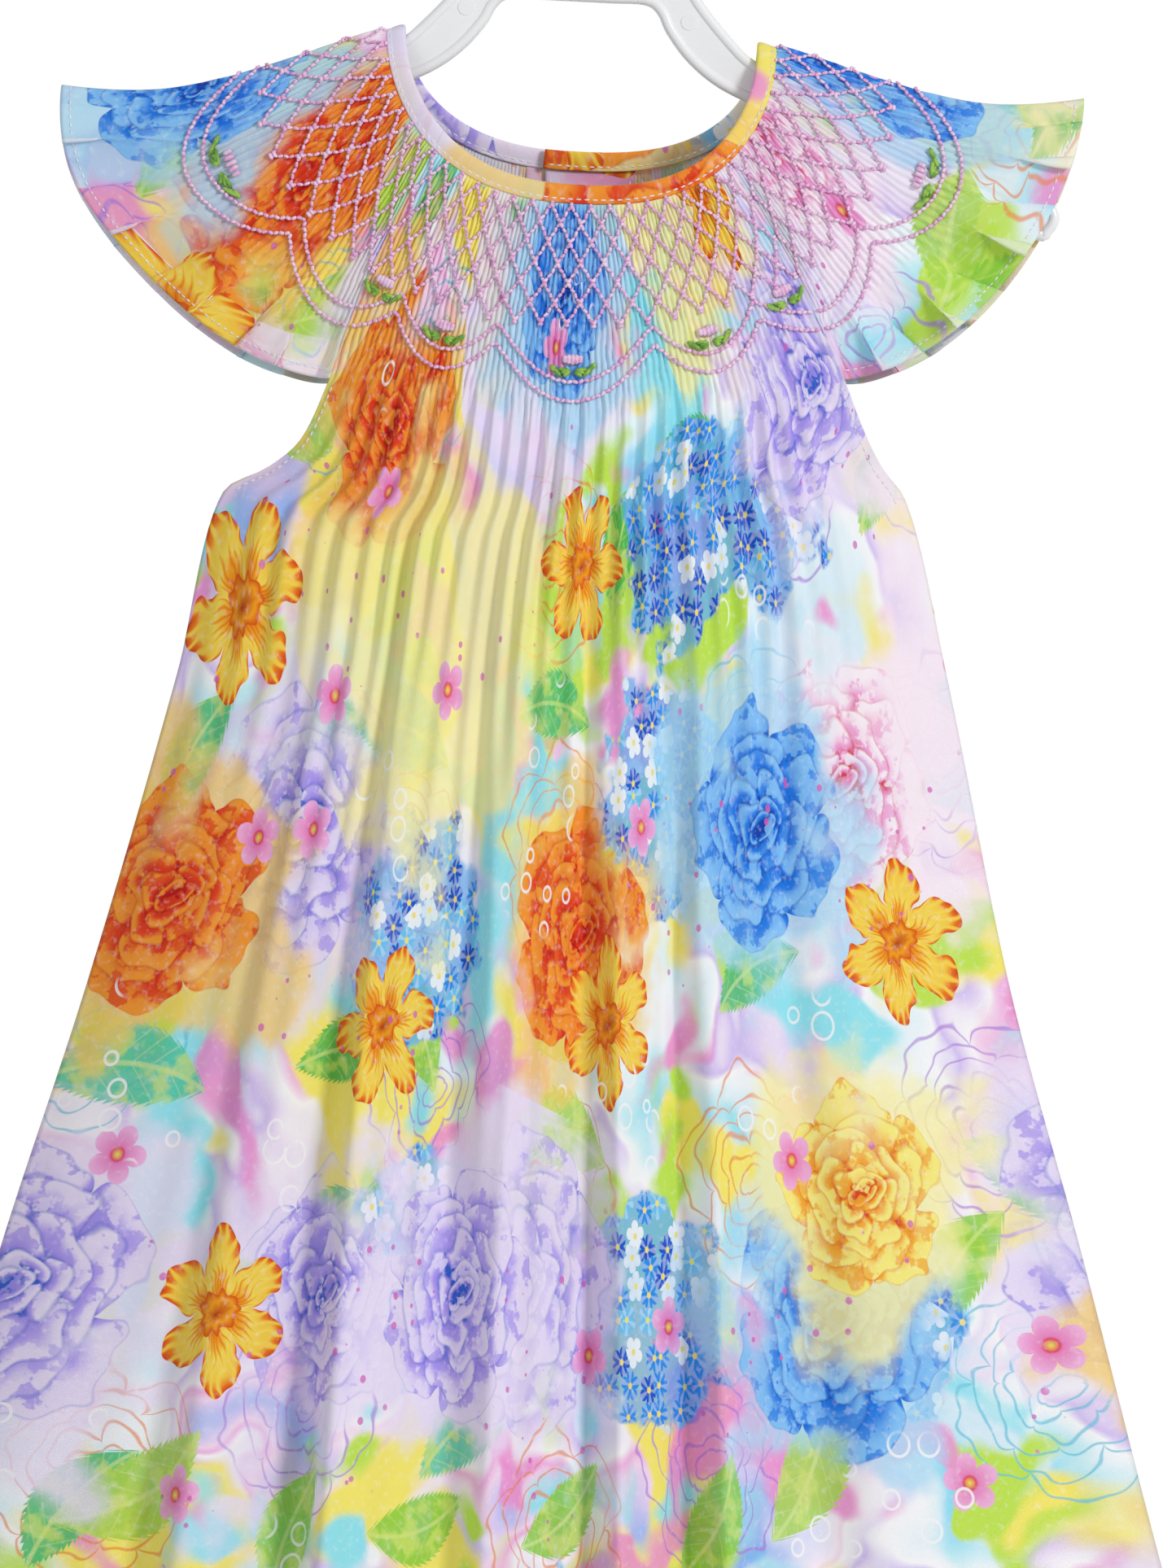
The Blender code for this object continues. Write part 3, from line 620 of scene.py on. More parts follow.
colour = (distance / cup).ramp(stops).over(petal, (cup - distance).ease(0.0, 0.02))
fill(trumpet.nodes.new("NodeGroupOutput"), {"Colour": colour, "Cover": (reach - distance).ease(0.0, 0.015)})

# Leaf: a pointed blade with a pale midrib and side veins, its edge cut into small teeth.
leaf, given = group("leaf", {"Place": "Vector", "Turn": "Float"}, {"Cover": "Float", "Tone": "Float"})
turned = node(leaf, "VectorRotate", {0: given["Place"], 3: given["Turn"]}, rotation_type="Z_AXIS")
along, up, _ = turned.split()
bow = along * along
side = abs(bow.fit(0.25, up))
teeth = ((along + side) * 9.0).math("FRACT") * 0.06
blade = 0.46 - bow * 0.5 - teeth - side
cover = blade.ease(0.0, 0.03) * (0.93 - abs(along)).ease(0.0, 0.03)
veins = (1.0 - abs(((along - side) * 14.0).math("SINE")).ease(0.0, 0.3)) * 0.6
tone = (1.0 - side.ease(0.012, 0.04)).math("MAXIMUM", veins)
fill(leaf.nodes.new("NodeGroupOutput"), {"Cover": cover, "Tone": tone})

# Watercolour print on the flat cloth, in mm: washes, leaves, clusters, roses, trumpets, blossoms, then drops.
FULL_TURN = 6.28
cloth_print, given = group("watercolour print", {"Cloth": "Vector", "Shift": "Vector"}, {"Colour": "Color"})
place = given["Cloth"].scaled(1000.0).moved(given["Shift"])
washed = place.wavered(0.014, 110.0, Roughness=0.6)
colour = (
    washed.noise(0.0085, 2.0, Roughness=0.45)
    .ease(0.27, 0.73)
    .ramp(
        (
            (0.00, (0.25, 0.72, 0.93)),
            (0.14, (0.55, 0.87, 0.95)),
            (0.26, (0.84, 0.94, 0.98)),
            (0.36, (0.97, 0.97, 0.99)),
            (0.43, (0.68, 0.56, 0.92)),
            (0.50, (0.82, 0.70, 0.94)),
            (0.57, (0.91, 0.85, 0.97)),
            (0.65, (0.98, 0.96, 0.98)),
            (0.73, (0.92, 0.48, 0.80)),
            (0.82, (0.95, 0.72, 0.90)),
            (0.91, (0.70, 0.62, 0.94)),
            (1.00, (0.25, 0.48, 0.92)),
        )
    )
)
# Soft-edged washes: place of each, its scale, where it starts and is full, its colour and strength
for shift, scale, low, high, shade, strength in (
    ((90.0, -260.0, 0.0), 0.0120, 0.530, 0.60, (0.98, 0.96, 0.98), 0.6),
    ((310.0, 77.0, 0.0), 0.0105, 0.535, 0.60, (0.96, 0.84, 0.16), 1.0),
    ((-150.0, 420.0, 0.0), 0.0120, 0.565, 0.62, (0.54, 0.80, 0.09), 1.0),
    ((640.0, -330.0, 0.0), 0.0110, 0.555, 0.62, (0.30, 0.80, 0.90), 1.0),
    ((-480.0, 910.0, 0.0), 0.0150, 0.560, 0.63, (0.88, 0.28, 0.66), 0.85),
):
    colour = colour.under(shade, washed.moved(shift).noise(scale).ease(low, high) * strength)


def cells(spacing, shift, loose=0.6):
    """Scattered motifs: the place within each, in mm, and two random numbers for it."""
    moved = place.moved((shift, shift * 0.7, 0.0))
    sockets = {"Vector": moved, "Scale": 1.0 / spacing, "Randomness": loose}
    _, picked, centre, *_ = node(cloth_print, "TexVoronoi", sockets, None, voronoi_dimensions="2D")
    first, second, _ = picked.split("Color")
    return node(cloth_print, "VectorMath", {0: moved, 1: centre}, operation="SUBTRACT"), first, second


def motif(shape, inner, radius, turn, **shades):
    """Outputs of a drawn motif of a radius round a place."""
    sockets = {"Place": inner.scaled(1.0 / radius), "Turn": turn * FULL_TURN}
    return node(cloth_print, "Group", {**sockets, **shades}, None, node_tree=shape)


def five_petals(inner, turn, power, size, least, edge):
    """Cover of a small flower, its distance from the middle, and the ridges of its petals."""
    distance, angle = inner.polar()
    lobe = abs(angle.fit(2.5, turn * FULL_TURN).math("COSINE"))
    return ((lobe**power).fit(size, least) - distance).ease(0.0, edge), distance, lobe


# Roses drawn in thin line, under everything but the washes
inner, first, second = cells(118.0, 620.0)
_, _, line = motif(rose, inner, 42.0, first)
stops = ((0.0, (0.86, 0.25, 0.05)), (0.35, (0.42, 0.20, 0.72)), (0.7, (0.10, 0.55, 0.75)))
colour = second.steps(stops).over(colour, line * 0.7)

# Leaves behind the flowers
mottle = place.noise(0.10).ease(0.48, 0.62) * 0.65
for spacing, shift, radius, shades in (
    (92.0, 40.0, 30.0, ((0.0, (0.05, 0.50, 0.08)), (0.4, (0.28, 0.66, 0.05)), (0.7, (0.06, 0.55, 0.18)))),
    (124.0, 530.0, 36.0, ((0.0, (0.12, 0.60, 0.06)), (0.5, (0.42, 0.70, 0.08)), (0.8, (0.08, 0.62, 0.40)))),
):
    inner, first, second = cells(spacing, shift)
    cover, tone = motif(leaf, inner, radius, first)
    shade = second.steps(shades).under((0.70, 0.86, 0.30), tone * 0.6).under((0.66, 0.82, 0.16), mottle)
    colour = shade.over(colour, cover * (second > 0.30) * 0.9)

# Clusters of small blue flowers
inner, first, second = cells(150.0, 215.0, 0.7)
zone = place.noise(0.05).fit(46.0, inner.length() * -1.0).ease(-22.0, -17.0) * (second > 0.25)
colour = colour.under((0.10, 0.45, 0.88), zone * 0.75)
inner, first, second = cells(10.5, 12.0, 0.8)
petal, distance, lobe = five_petals(inner, first, 0.5, 3.0, 3.2, 0.5)
blues = ((0.005, 0.10, 0.62), (0.02, 0.28, 0.82), (0.88, 0.93, 0.97), (0.16, 0.56, 0.90), (0.72, 0.84, 0.95))
shade = second.steps(zip((0.0, 0.3, 0.6, 0.74, 0.9), blues))
shade = shade.under((0.85, 0.92, 0.97), lobe.ease(0.75, 0.95) * 0.35)
colour = shade.under((0.93, 0.78, 0.20), distance.ease(1.5, 0.9)).over(colour, zone * petal)

# Large roses, each in one of five colourings, blooming into a patch of their own light colour
ROSE_SHARES = (0.0, 0.27, 0.44, 0.68, 0.86)
ROSE_TONES = (
    ((0.94, 0.33, 0.03), (0.24, 0.56, 0.96), (0.82, 0.74, 0.96), (0.97, 0.88, 0.95), (0.96, 0.86, 0.22)),
    ((0.78, 0.05, 0.01), (0.01, 0.20, 0.80), (0.42, 0.32, 0.88), (0.88, 0.34, 0.66), (0.92, 0.40, 0.03)),
    ((0.50, 0.005, 0.002), (0.002, 0.05, 0.42), (0.03, 0.11, 0.60), (0.66, 0.03, 0.06), (0.70, 0.06, 0.005)),
    ((0.96, 0.66, 0.14), (0.42, 0.74, 0.96), (0.86, 0.78, 0.97), (0.97, 0.84, 0.94), (0.97, 0.90, 0.36)),
)
stroke = place.scaled(0.09).noise(1.0, 3.0, Roughness=0.62)
bleed = place.noise(0.022, 3.0)
for spacing, shift, radius in ((164.0, 0.0, 60.0), (190.0, 911.0, 50.0)):
    inner, first, second = cells(spacing, shift, 0.5)
    inner = inner.scaled(first.fit(0.45, 0.82))
    light, middle, dark, halo = (second.steps(zip(ROSE_SHARES, shades)) for shades in ROSE_TONES)
    colours = {"Edge colour": light, "Petal colour": middle, "Heart colour": dark}
    petals, cover, line = motif(rose, inner, radius, first, **colours)
    shade = light.over(petals, stroke.ease(0.52, 0.57) * 0.75)
    shade = middle.over(shade, stroke.ease(0.46, 0.41) * 0.75)
    shade = dark.over(shade, line * 0.30)
    reach = inner.length()
    colour = halo.over(colour, bleed.fit(-150.0, reach).ease(2.0, -24.0) * 0.8)
    melting = bleed.ease(0.50, 0.36) * reach.ease(radius * 0.25, radius * 0.8)
    colour = shade.over(colour, cover * (1.0 - melting * 0.9) * (first > 0.12))

# Trumpet flowers in yellow and orange
inner, first, second = cells(132.0, 345.0)
petals, cover = motif(trumpet, inner, 32.0, first)
colour = petals.over(colour, cover * (second > 0.42))

# Small pink blossoms
inner, first, second = cells(60.0, 77.0, 0.8)
petal, distance, _ = five_petals(inner, first, 0.6, 5.5, 6.0, 0.8)
pinks = ((0.92, 0.78, 0.10), (0.76, 0.03, 0.12), (0.84, 0.22, 0.55), (0.90, 0.45, 0.76))
shade = (distance * 0.1).ramp(zip((0.0, 0.24, 0.34, 1.0), pinks))
colour = shade.over(colour, petal * (second > 0.74) * 0.95)

# Splashed drops and thin white rings, in patches, then the grain of the paint
inner, first, second = cells(15.0, 5.0, 1.0)
distance = inner.length()
patch = place.moved((700.0, 60.0, 0.0)).noise(0.011, 1.0)
drop = (first * 1.7 - distance).ease(0.0, 0.4) * patch.ease(0.56, 0.59)
ring = abs(distance - second.fit(3.0, 2.0)).ease(0.75, 0.35) * patch.ease(0.39, 0.36) * (first > 0.6)
colour = colour.under((0.68, 0.12, 0.50), drop * 0.8).under((0.95, 0.95, 0.98), ring * 0.85)
colour = colour.under((0.96, 0.96, 0.98), place.noise(0.35, 2.0).ease(0.52, 0.75) * 0.22)
fill(cloth_print.nodes.new("NodeGroupOutput"), {"Colour": colour})

# Plain weave of the lawn: a raised height for each crossing of its yarns.
weave, given = group("plain weave", {"Cloth": "Vector", "Yarns per metre": "Float"}, {"Height": "Float"})
turned = given["Cloth"].scaled(given["Yarns per metre"])
warp, weft, _ = ((way * 6.2832).math("SINE") for way in turned.split())
fill(weave.nodes.new("NodeGroupOutput"), {"Height": turned.noise(0.35).fit(1.5, warp * weft)})


def lawn(name, shift):
    """Printed cotton lawn, and its wrong side, on which the print is paler."""

    def paints(tree, pale=False):
        cloth = node(tree, "UVMap", {}, uv_map="cloth")
        colour = node(tree, "Group", {"Cloth": cloth, "Shift": (*shift, 0.0)}, node_tree=cloth_print)
        height = node(tree, "Group", {"Cloth": cloth, "Yarns per metre": 1500.0}, node_tree=weave)
        return {
            "Base Color": colour.under((0.93, 0.92, 0.95), 0.5) if pale else colour,
            "Roughness": 0.82,
            "Specular IOR Level": 0.25,
            "Sheen Weight": 0.12,
            "Sheen Roughness": 0.4,
            "Normal": height.bump(0.25, 0.00012),
        }

    return [shaded(name + "_print", paints), shaded(name + "_wrong_side", lambda tree: paints(tree, True))]


SHIFTS = {
    "front": (700.0, -235.0),
    "back_left": (-640.0, 130.0),
    "back_right": (300.0, 640.0),
    "sleeve_left": (290.0, 1360.0),
    "sleeve_right": (-1130.0, 385.0),
}
SHELL = 0.45
LAST_COLUMN = 0.9985
FINE_ROWS = 48
ROW_RANGES = ((YOKE_START, 76.0, 38), (79.5, 175.0, 27), (183.0, 558.4, 46))
ROWS = np.concatenate([np.linspace(*stretch) for stretch in ROW_RANGES])


def fitted(piece, solid):
    """The piece is fixed to the one body and stands for its plain solid."""
    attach(piece, "root")
    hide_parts(solid)


def front_point(part, s):
    u = np.clip(part * 2 - 1, -LAST_COLUMN, LAST_COLUMN)
    return body_cloth(-1, u, s, 0.0, front_scallops, front_pleats)[0]


def front_flat(part, s):
    return flat_place(part * 2 - 1, s)


mesh = cloth_mesh("front_panel_cloth", FRONT_PLEATS * 3, ROWS, FINE_ROWS, front_point, front_flat)
mesh.flip_normals()
front = shown_piece("front_panel_cloth", mesh, lawn("front", SHIFTS["front"]), SHELL)
fitted(front, "front_panel")


# Backs
# Two halves of the same lawn that meet at the centre back, smocked like the front beside a flat band
# for the plackets.
BACK_PLEATS = 28
BAND_COLUMNS = 6
BACK_COLUMNS = BAND_COLUMNS + 3 * BACK_PLEATS


def back_scallops(u):
    """Upper scalloped row on the back."""
    return scallop_line(np.interp(np.abs(u), (0.0, 0.34, 0.8, 1.0), (0.3, 1.0, 2.0, 2.36)), 14.0)


def back_pleats(u, s):
    """Which pleat a column of the back is in: none on the placket band."""
    part = past_band(u)
    return part * BACK_PLEATS + waver(u, s) * smooth(part / 0.05) + 0.5


def back_cloth(side, part, s):
    """Points of one half of the back: part is 0 at the centre back and 1 at the side."""
    u = side * np.clip(part, 0.0004, LAST_COLUMN)
    points, normal = body_cloth(1, u, s, 0.0, back_scallops, back_pleats)
    flat = 1 - smooth((np.abs(u) - BAND_SHARE) / 0.02)
    points = points - normal * (pleat_height(u, s, back_scallops, back_pleats) * flat)[..., None]
    points[..., 0] += side * 0.15 * (1 - np.clip(part * 20, 0, 1))
    return points


def back_column(part):
    """Share of the half's width for a share of its columns: the band has six of them."""
    return np.interp(part * BACK_COLUMNS, (0, BAND_COLUMNS, BACK_COLUMNS), (0, BAND_SHARE, 1))


for side, name in ((-1, "back_left"), (1, "back_right")):
    mesh = cloth_mesh(
        name + "_cloth",
        BACK_COLUMNS,
        ROWS,
        FINE_ROWS,
        lambda part, s: back_cloth(side, back_column(part), s),
        lambda part, s: flat_place(side * back_column(part), s),
    )
    if side < 0:
        mesh.flip_normals()
    piece = shown_piece(name + "_cloth", mesh, lawn(name, SHIFTS[name]), SHELL)
    fitted(piece, name)


# Sleeves
# Flutter sleeves of the same lawn, smocked into the neck beside the front and back, with a loose narrow hem
# whose edge falls in small folds.
SLEEVE_TIPS = {-1: (-194.4, -121.5), 1: (181.8, -126.6)}
SLEEVE_SAG = 9.0
HANGER_COVER = 5.0
SLEEVE_YOKE_STOP = 0.64
SLEEVE_PLEATS = 80
SLEEVE_WAVES = 9
SLEEVE_LAPS = {-1: 0.026, 1: 0.038}
SLEEVE_WIDTH = 0.33
RUFFLE_HEIGHTS = np.array(((0.64, 0.3), (0.75, 2.2), (0.87, 5.4), (1.0, 8.6)))
SLEEVE_ROWS = np.concatenate([np.linspace(0.0, 0.66, 40), np.linspace(0.675, 1.0, 27)])


def sleeve_length(v):
    """Length of the sleeve along its pleats, in mm."""
    return 124.0 - 34.0 * np.abs(v)


def sleeve_hem(side, v):
    """Hem line: v is -1 at the front raglan seam, 0 on the shoulder line and 1 at the back seam."""
    top = SIDE_EDGES[0]
    column = 1 if side < 0 else 3
    tip_x, tip_z = SLEEVE_TIPS[side]
    turn = np.abs(v) * np.pi / 2
    across = np.maximum(0.0, np.cos(turn)) ** 1.2
    down = np.maximum(0.0, np.sin(turn)) ** 1.2
    x = top[column] + (tip_x - top[column]) * across
    if side < 0:
        x = x - HANGER_COVER * np.exp(-(((np.abs(v) - 0.25) / 0.18) ** 2))
    droop = np.where(v > 0, 3.0 * np.sin(2 * turn), 0.0)
    z = tip_z + (top[column + 1] - tip_z) * down - droop
    return np.stack([x, np.sign(v) * top[5] * np.abs(v) ** 0.7, z], -1)


def sleeve_base(side, v, t):
    """Sleeve surface: t is 0 at the neck line and 1 at the hem."""
    front_start, back_start = (
        on_arc(("sleeve", side, part), np.abs(v) * ARCS["sleeve", side, part][1][-1]) for part in (-1, 1)
    )
    start = np.where((v < 0)[..., None], front_start, back_start)
    point = start + (sleeve_hem(side, v) - start) * t[..., None]
    point[..., 2] -= SLEEVE_SAG * np.sin(np.pi * np.clip(t, 0, 1) ** 1.3) * (1 - np.abs(v) ** 1.5)
    point[..., 0] += side * BULGE * np.sin(np.pi * t) * np.abs(v) ** 4
    return point


def sleeve_scallops(v):
    """Upper scalloped row on a sleeve."""
    place = np.interp(v, (-1.0, -0.62, 0.0, 0.62, 1.0), (-1.64, -1.0, 0.0, 1.0, 1.64))
    return scallop_line(place, np.where(np.abs(v) < 0.62, 20.0, 14.0))


def sleeve_pleats(v, t):
    """Which pleat a column of a sleeve is in."""
    stray = 0.12 * np.sin(t * 42 + 3 * np.sin(v * 17)) + 0.1 * np.sin(t * 17 + 31 * v)
    return (v + 1) * SLEEVE_PLEATS / 2 + stray * smooth(t * 9)


def sleeve_cloth(side, v, t, offset=0.0, pleats=sleeve_pleats):
    """Points and normals of a finished sleeve, in mm, with an offset outwards."""
    calm = 1 - np.abs(v) ** 8
    late = smooth((t - 0.68) / 0.32)
    fold = np.pi * SLEEVE_WAVES * v + 0.4 * side
    lapped = v + late * calm * smooth(np.abs(v) / 0.16) * SLEEVE_LAPS[side] * np.sin(2 * fold + 0.7)
    point = sleeve_base(side, lapped, t)
    inner = np.clip(lapped, -SIDEMOST, SIDEMOST)
    outward = np.stack([0 * v + 0.1 * side, np.clip(v * 20, -1, 1), 0 * v + 0.6], -1)
    above = np.minimum(t, 0.995)
    normal = normals_of(lambda a, b: sleeve_base(side, a, b), inner, above, 0.012, 0.004, outward)
    room = np.maximum(0.0, np.abs(point[..., 1]) * 0.8 - 1.6)
    wave = np.minimum(follow(RUFFLE_HEIGHTS, t)[..., 0], room) * calm * np.sin(fold) * (t >= SLEEVE_YOKE_STOP)
    crease = np.minimum(late * 0.7, room) * np.sin(2.7 * fold + 3 * t)
    limit = sleeve_scallops(v) + 8.0 + 5 * np.sin(v * 23) + 3 * np.sin(v * 61)
    raised = (0.75 + pleat_wave(pleats(v, t), t * sleeve_length(v), limit)) * (1 - 0.6 * late)
    return point + normal * (raised + wave + crease + offset)[..., None], normal


def sleeve_point(part, row):
    v = np.clip(part * 2 - 1, -LAST_COLUMN, LAST_COLUMN)
    start = YOKE_START / sleeve_length(v)
    return sleeve_cloth(side, v, start + row * (1 - start))[0]


def sleeve_flat(part, row):
    return np.stack([(part - 0.5) * SLEEVE_WIDTH, -row * sleeve_length(part * 2 - 1) * MM], -1)


for side, name in ((-1, "sleeve_left"), (1, "sleeve_right")):
    mesh = cloth_mesh(name + "_cloth", 3 * SLEEVE_PLEATS, SLEEVE_ROWS, 40, sleeve_point, sleeve_flat)
    if side > 0:
        mesh.flip_normals()
    piece = shown_piece(name + "_cloth", mesh, lawn(name, SHIFTS[name]), SHELL)
    fitted(piece, name)


# Neck binding
# One bias strip of the lawn folded over the neck edge; its two ends lap at the centre back.
BINDING_ANGLES = (85.3, 457.9)
BINDING_STEPS = 300
LAP_DEPTH = 2.9
# Outer half of the folded strip's section, from its lower edge up: height and thickness, in mm.
HALF_SECTION = [(3.6, 0.75), (3.3, 1.0), (2.5, 1.05), (1.9, 0.85)]
HALF_SECTION += [(1.0, 1.05), (-0.8, 1.15), (-2.6, 1.05), (-3.4, 0.65)]


def cloth_direction(angle):
    """Direction in which the cloth leaves the neck line at an angle."""
    turn = angle % 360
    start = neck(np.array(turn))
    body = 225 <= turn <= 315 or 45 <= turn <= 135
    face = -1 if turn > 180 else 1
    if body:
        side = 1 if start[0] > NECK_X else -1
        points, lengths = ARCS[face, side]
    else:
        side = -1 if 135 < turn < 225 else 1
        points, lengths = ARCS["sleeve", side, face]
    share = lengths[np.argmin(np.linalg.norm(points - start, axis=1))] / lengths[-1]
    if not body:
        away = sleeve_base(side, np.array(face * share), np.array(0.12))
    else:
        if face > 0:
            share = np.interp(share, (0, BAND / lengths[-1], 1), (0, BAND_SHARE, 1))
        away = body_base(face, np.array(side * share), np.array(12.0))
    return (away - start) / np.linalg.norm(away - start)


def strip_frame(angles):
    """Centre, downward and outward directions of the binding at each angle."""
    down = np.array([cloth_direction(angle) for angle in angles])
    for _ in range(6):
        down[1:-1] = (down[:-2] + down[1:-1] + down[2:]) / 3
    along = neck(angles + 1) - neck(angles - 1)
    along /= np.linalg.norm(along, axis=1, keepdims=True)
    down -= along * np.sum(down * along, axis=1, keepdims=True)
    down /= np.linalg.norm(down, axis=1, keepdims=True)
    centre = neck(angles)
    centre[:, 1] -= LAP_DEPTH * smooth((angles - 400) / 38)
    return centre, down, np.cross(down, along)


centre, down, out = strip_frame(np.linspace(*BINDING_ANGLES, BINDING_STEPS + 1))
length = run_along(centre)
section = np.array(HALF_SECTION + [(-3.6, 0.0)] + [(a, -b) for a, b in reversed(HALF_SECTION)])


def binding_point(part, row):
    k = np.rint(part * BINDING_STEPS).astype(int)
    low, high = section[np.rint(row).astype(int)].T
    pucker = 1 + 0.05 * np.sin(length[k] * 1.9) + 0.05 * np.sin(length[k] * 0.83)
    return centre[k] + down[k] * low[:, None] + out[k] * (high * pucker)[:, None]


def binding_flat(part, row):
    return np.stack([length[np.rint(part * BINDING_STEPS).astype(int)] * MM, row * MM], -1)


rows = np.arange(len(section))
mesh = cloth_mesh("neck_binding_cloth", BINDING_STEPS, rows, -1, binding_point, binding_flat)
binding = shown_piece("neck_binding_cloth", mesh, lawn("binding", (205.0, -415.0)), 0.4)
fitted(binding, "neck_binding")


# Plackets
# Straight strips of the lawn down the centre back: one on the outside of the left half, one on the inside of
# the right half.
PLACKET_ROWS = np.linspace(YOKE_START, 150.0, 60)


def on_band(place, s, offset):
    """Points and normals on the back's flat band, in mm from the centre back."""
    u = place / BAND * BAND_SHARE
    u = np.where(np.abs(u) < 1e-6, 1e-6, u)
    normal = body_normal(1, u, s)
    return body_base(1, u, s) + normal * offset, normal


for name, first, last, offset in (("placket_over", -20.0, 6.5, 2.15), ("placket_under", -13.5, 20.0, -2.0)):
    mesh = cloth_mesh(
        name + "_cloth",
        24,
        PLACKET_ROWS,
        -1,
        lambda part, s: on_band(first + (last - first) * part, s, offset)[0],
        lambda part, s: np.stack([(first + (last - first) * part) * MM, 1.0 - s * MM], -1),
    )
    if offset < 0:
        mesh.flip_normals()
    piece = shown_piece(name + "_cloth", mesh, lawn(name, (330.0, 95.0)), 0.9)
    fitted(piece, name)


# Hanger
# Moulded in one piece in glossy white plastic: a thin web inside a round rim, with the hook and two round
# marks of the mould.
HANGER_TILT = math.radians(3.0)
RIM_RADIUS = 2.2
HOOK_RADIUS = 23.5
HOOK_MIDDLE = -21.0
WEB_HALF = 1.2
WEB_STEPS = 60
# Right half of the outline, from the hook out along the shoulder and back under the arm: x and z, in mm.
HANGER_OUTLINE = (
    ((7.0, -50.0), (20.0, -58.0), (32.0, -70.0), (40.5, -80.5), (45.7, -87.7), (50.0, -93.0), (57.5, -101.2))
    + ((65.0, -108.2), (75.0, -113.4), (100.0, -123.0), (137.0, -138.0), (174.0, -152.8), (179.5, -156.5))
    + ((181.5, -161.3), (179.0, -167.0), (172.0, -169.5), (136.0, -154.5), (100.0, -139.0), (76.0, -129.0))
    + ((59.0, -122.6), (48.8, -117.0), (40.0, -109.5), (33.0, -100.6), (29.5, -94.0))
    + ((24.5, -90.8), (12.0, -90.8))
)


def rounded(points, closed, cuts=4):
    """Points of a smooth line through the given points."""
    points = np.array(points, float)
    count = len(points)
    wanted = (lambda k: k % count) if closed else (lambda k: min(max(k, 0), count - 1))
    found = []
    for k in range(count if closed else count - 1):
        a, b, c, d = (points[wanted(k + j)] for j in (-1, 0, 1, 2))
        for t in np.arange(cuts) / cuts:
            curve = (c - a) * t + (2 * a - 5 * b + 4 * c - d) * t**2 + (3 * b - a - 3 * c + d) * t**3
            found.append(b + curve / 2)
    return np.array(found if closed else [*found, points[-1]])


def add_tube(bm, points, radius, sides, closed, index=0):
    """Round tube along points, in mm, into a mesh."""
    points = np.array(points, float)
    after = np.roll(points, -1, axis=0)
    before = np.roll(points, 1, axis=0)
    if not closed:
        after[-1] = points[-1]
        before[0] = points[0]
    first = np.cross(after - before, (0.0, 1.0, 0.0))
    first /= np.linalg.norm(first, axis=1, keepdims=True)
    second = np.cross(after - before, first)
    second /= np.linalg.norm(second, axis=1, keepdims=True)
    turns = np.arange(sides) * math.tau / sides
    rings = [
        [bm.verts.new((point + (a * math.cos(turn) + b * math.sin(turn)) * radius) * MM) for turn in turns]
        for point, a, b in zip(points, first, second)
    ]
    faces = [] if closed else [bm.faces.new(rings[0]), bm.faces.new(rings[-1])]
    for ring, following in zip(rings, rings[1:] + rings[:1] if closed else rings[1:]):
        for j in range(sides):
            side = bm.faces.new((ring[j], ring[(j + 1) % sides], following[(j + 1) % sides], following[j]))
            side.smooth = True
            faces.append(side)
    for face in faces:
        face.material_index = index


def plastic_paints(tree):
    place = node(tree, "TexCoord", {}, 3)
    flow = place.noise(35.0, 3.0)
    return {
        "Base Color": flow.tint((0.90, 0.92, 0.94), (0.96, 0.97, 0.98)),
        "Roughness": flow.fit(0.18, 0.16),
        "Normal": place.noise(900.0).bump(0.05, 0.0002),
        "Coat Weight": 0.3,
        "Coat Roughness": 0.12,
    }


plastic = shaded("hanger_plastic", plastic_paints)
right = list(HANGER_OUTLINE)
outline = rounded(right + [(-x, z) for x, z in reversed(right)], True)
along = unit(np.roll(outline, -1, axis=0) - np.roll(outline, 1, axis=0))
outline = outline + np.stack([along[:, 1], -along[:, 0]], 1) * RIM_RADIUS
rim = np.insert(outline, 1, 0.0, axis=1)
tip = int(np.argmax(rim[:, 0]))
foot = int(np.argmin(np.abs(rim[:, 0]) + 5 * np.abs(rim[:, 2] + 88.6)))
upper = np.concatenate([[(0.0, 0.0, rim[0, 2])], rim[: tip + 1]])
lower = np.concatenate([[(0.0, 0.0, rim[foot, 2])], rim[tip : foot + 1][::-1]])
edges = []
for line in (upper, lower):
    lengths = run_along(line)
    edges.append(between(np.linspace(0, 1, WEB_STEPS) * lengths[-1], lengths, line))
bm = bmesh.new()
for way in (-1, 1):
    for y in (-WEB_HALF, WEB_HALF):
        above, below = ([bm.verts.new((way * x * MM, y * MM, z * MM)) for x, _, z in edge] for edge in edges)
        for k in range(WEB_STEPS - 1):
            bm.faces.new((above[k], above[k + 1], below[k + 1], below[k]))
bmesh.ops.remove_doubles(bm, verts=bm.verts, dist=0.01 * MM)
bmesh.ops.recalc_face_normals(bm, faces=bm.faces)
add_tube(bm, rim, RIM_RADIUS, 14, True)
turns = np.radians(np.linspace(-82, 200, 61))
hook = [(HOOK_RADIUS * math.cos(turn), 0, HOOK_MIDDLE + HOOK_RADIUS * math.sin(turn)) for turn in turns]
add_tube(bm, rounded([(0, 0, -60.0), (0, 0, -53.0)] + hook, False, 2), 2.6, 16, False)
for x, z in ((-45.9, -92.7), (36.3, -98.3)):
    upright = Matrix.Rotation(-HANGER_TILT, 3, "Y") @ Vector((x, 0, z))
    lay = Matrix.Translation(upright * MM) @ Matrix.Rotation(math.pi / 2, 4, "X")
    sizes = {"radius1": 3 * MM, "radius2": 3 * MM, "depth": 3 * MM}
    bmesh.ops.create_cone(bm, cap_ends=True, segments=32, matrix=lay, **sizes)
bmesh.ops.rotate(bm, verts=bm.verts, cent=(0, 0, 0), matrix=Matrix.Rotation(HANGER_TILT, 3, "Y"))
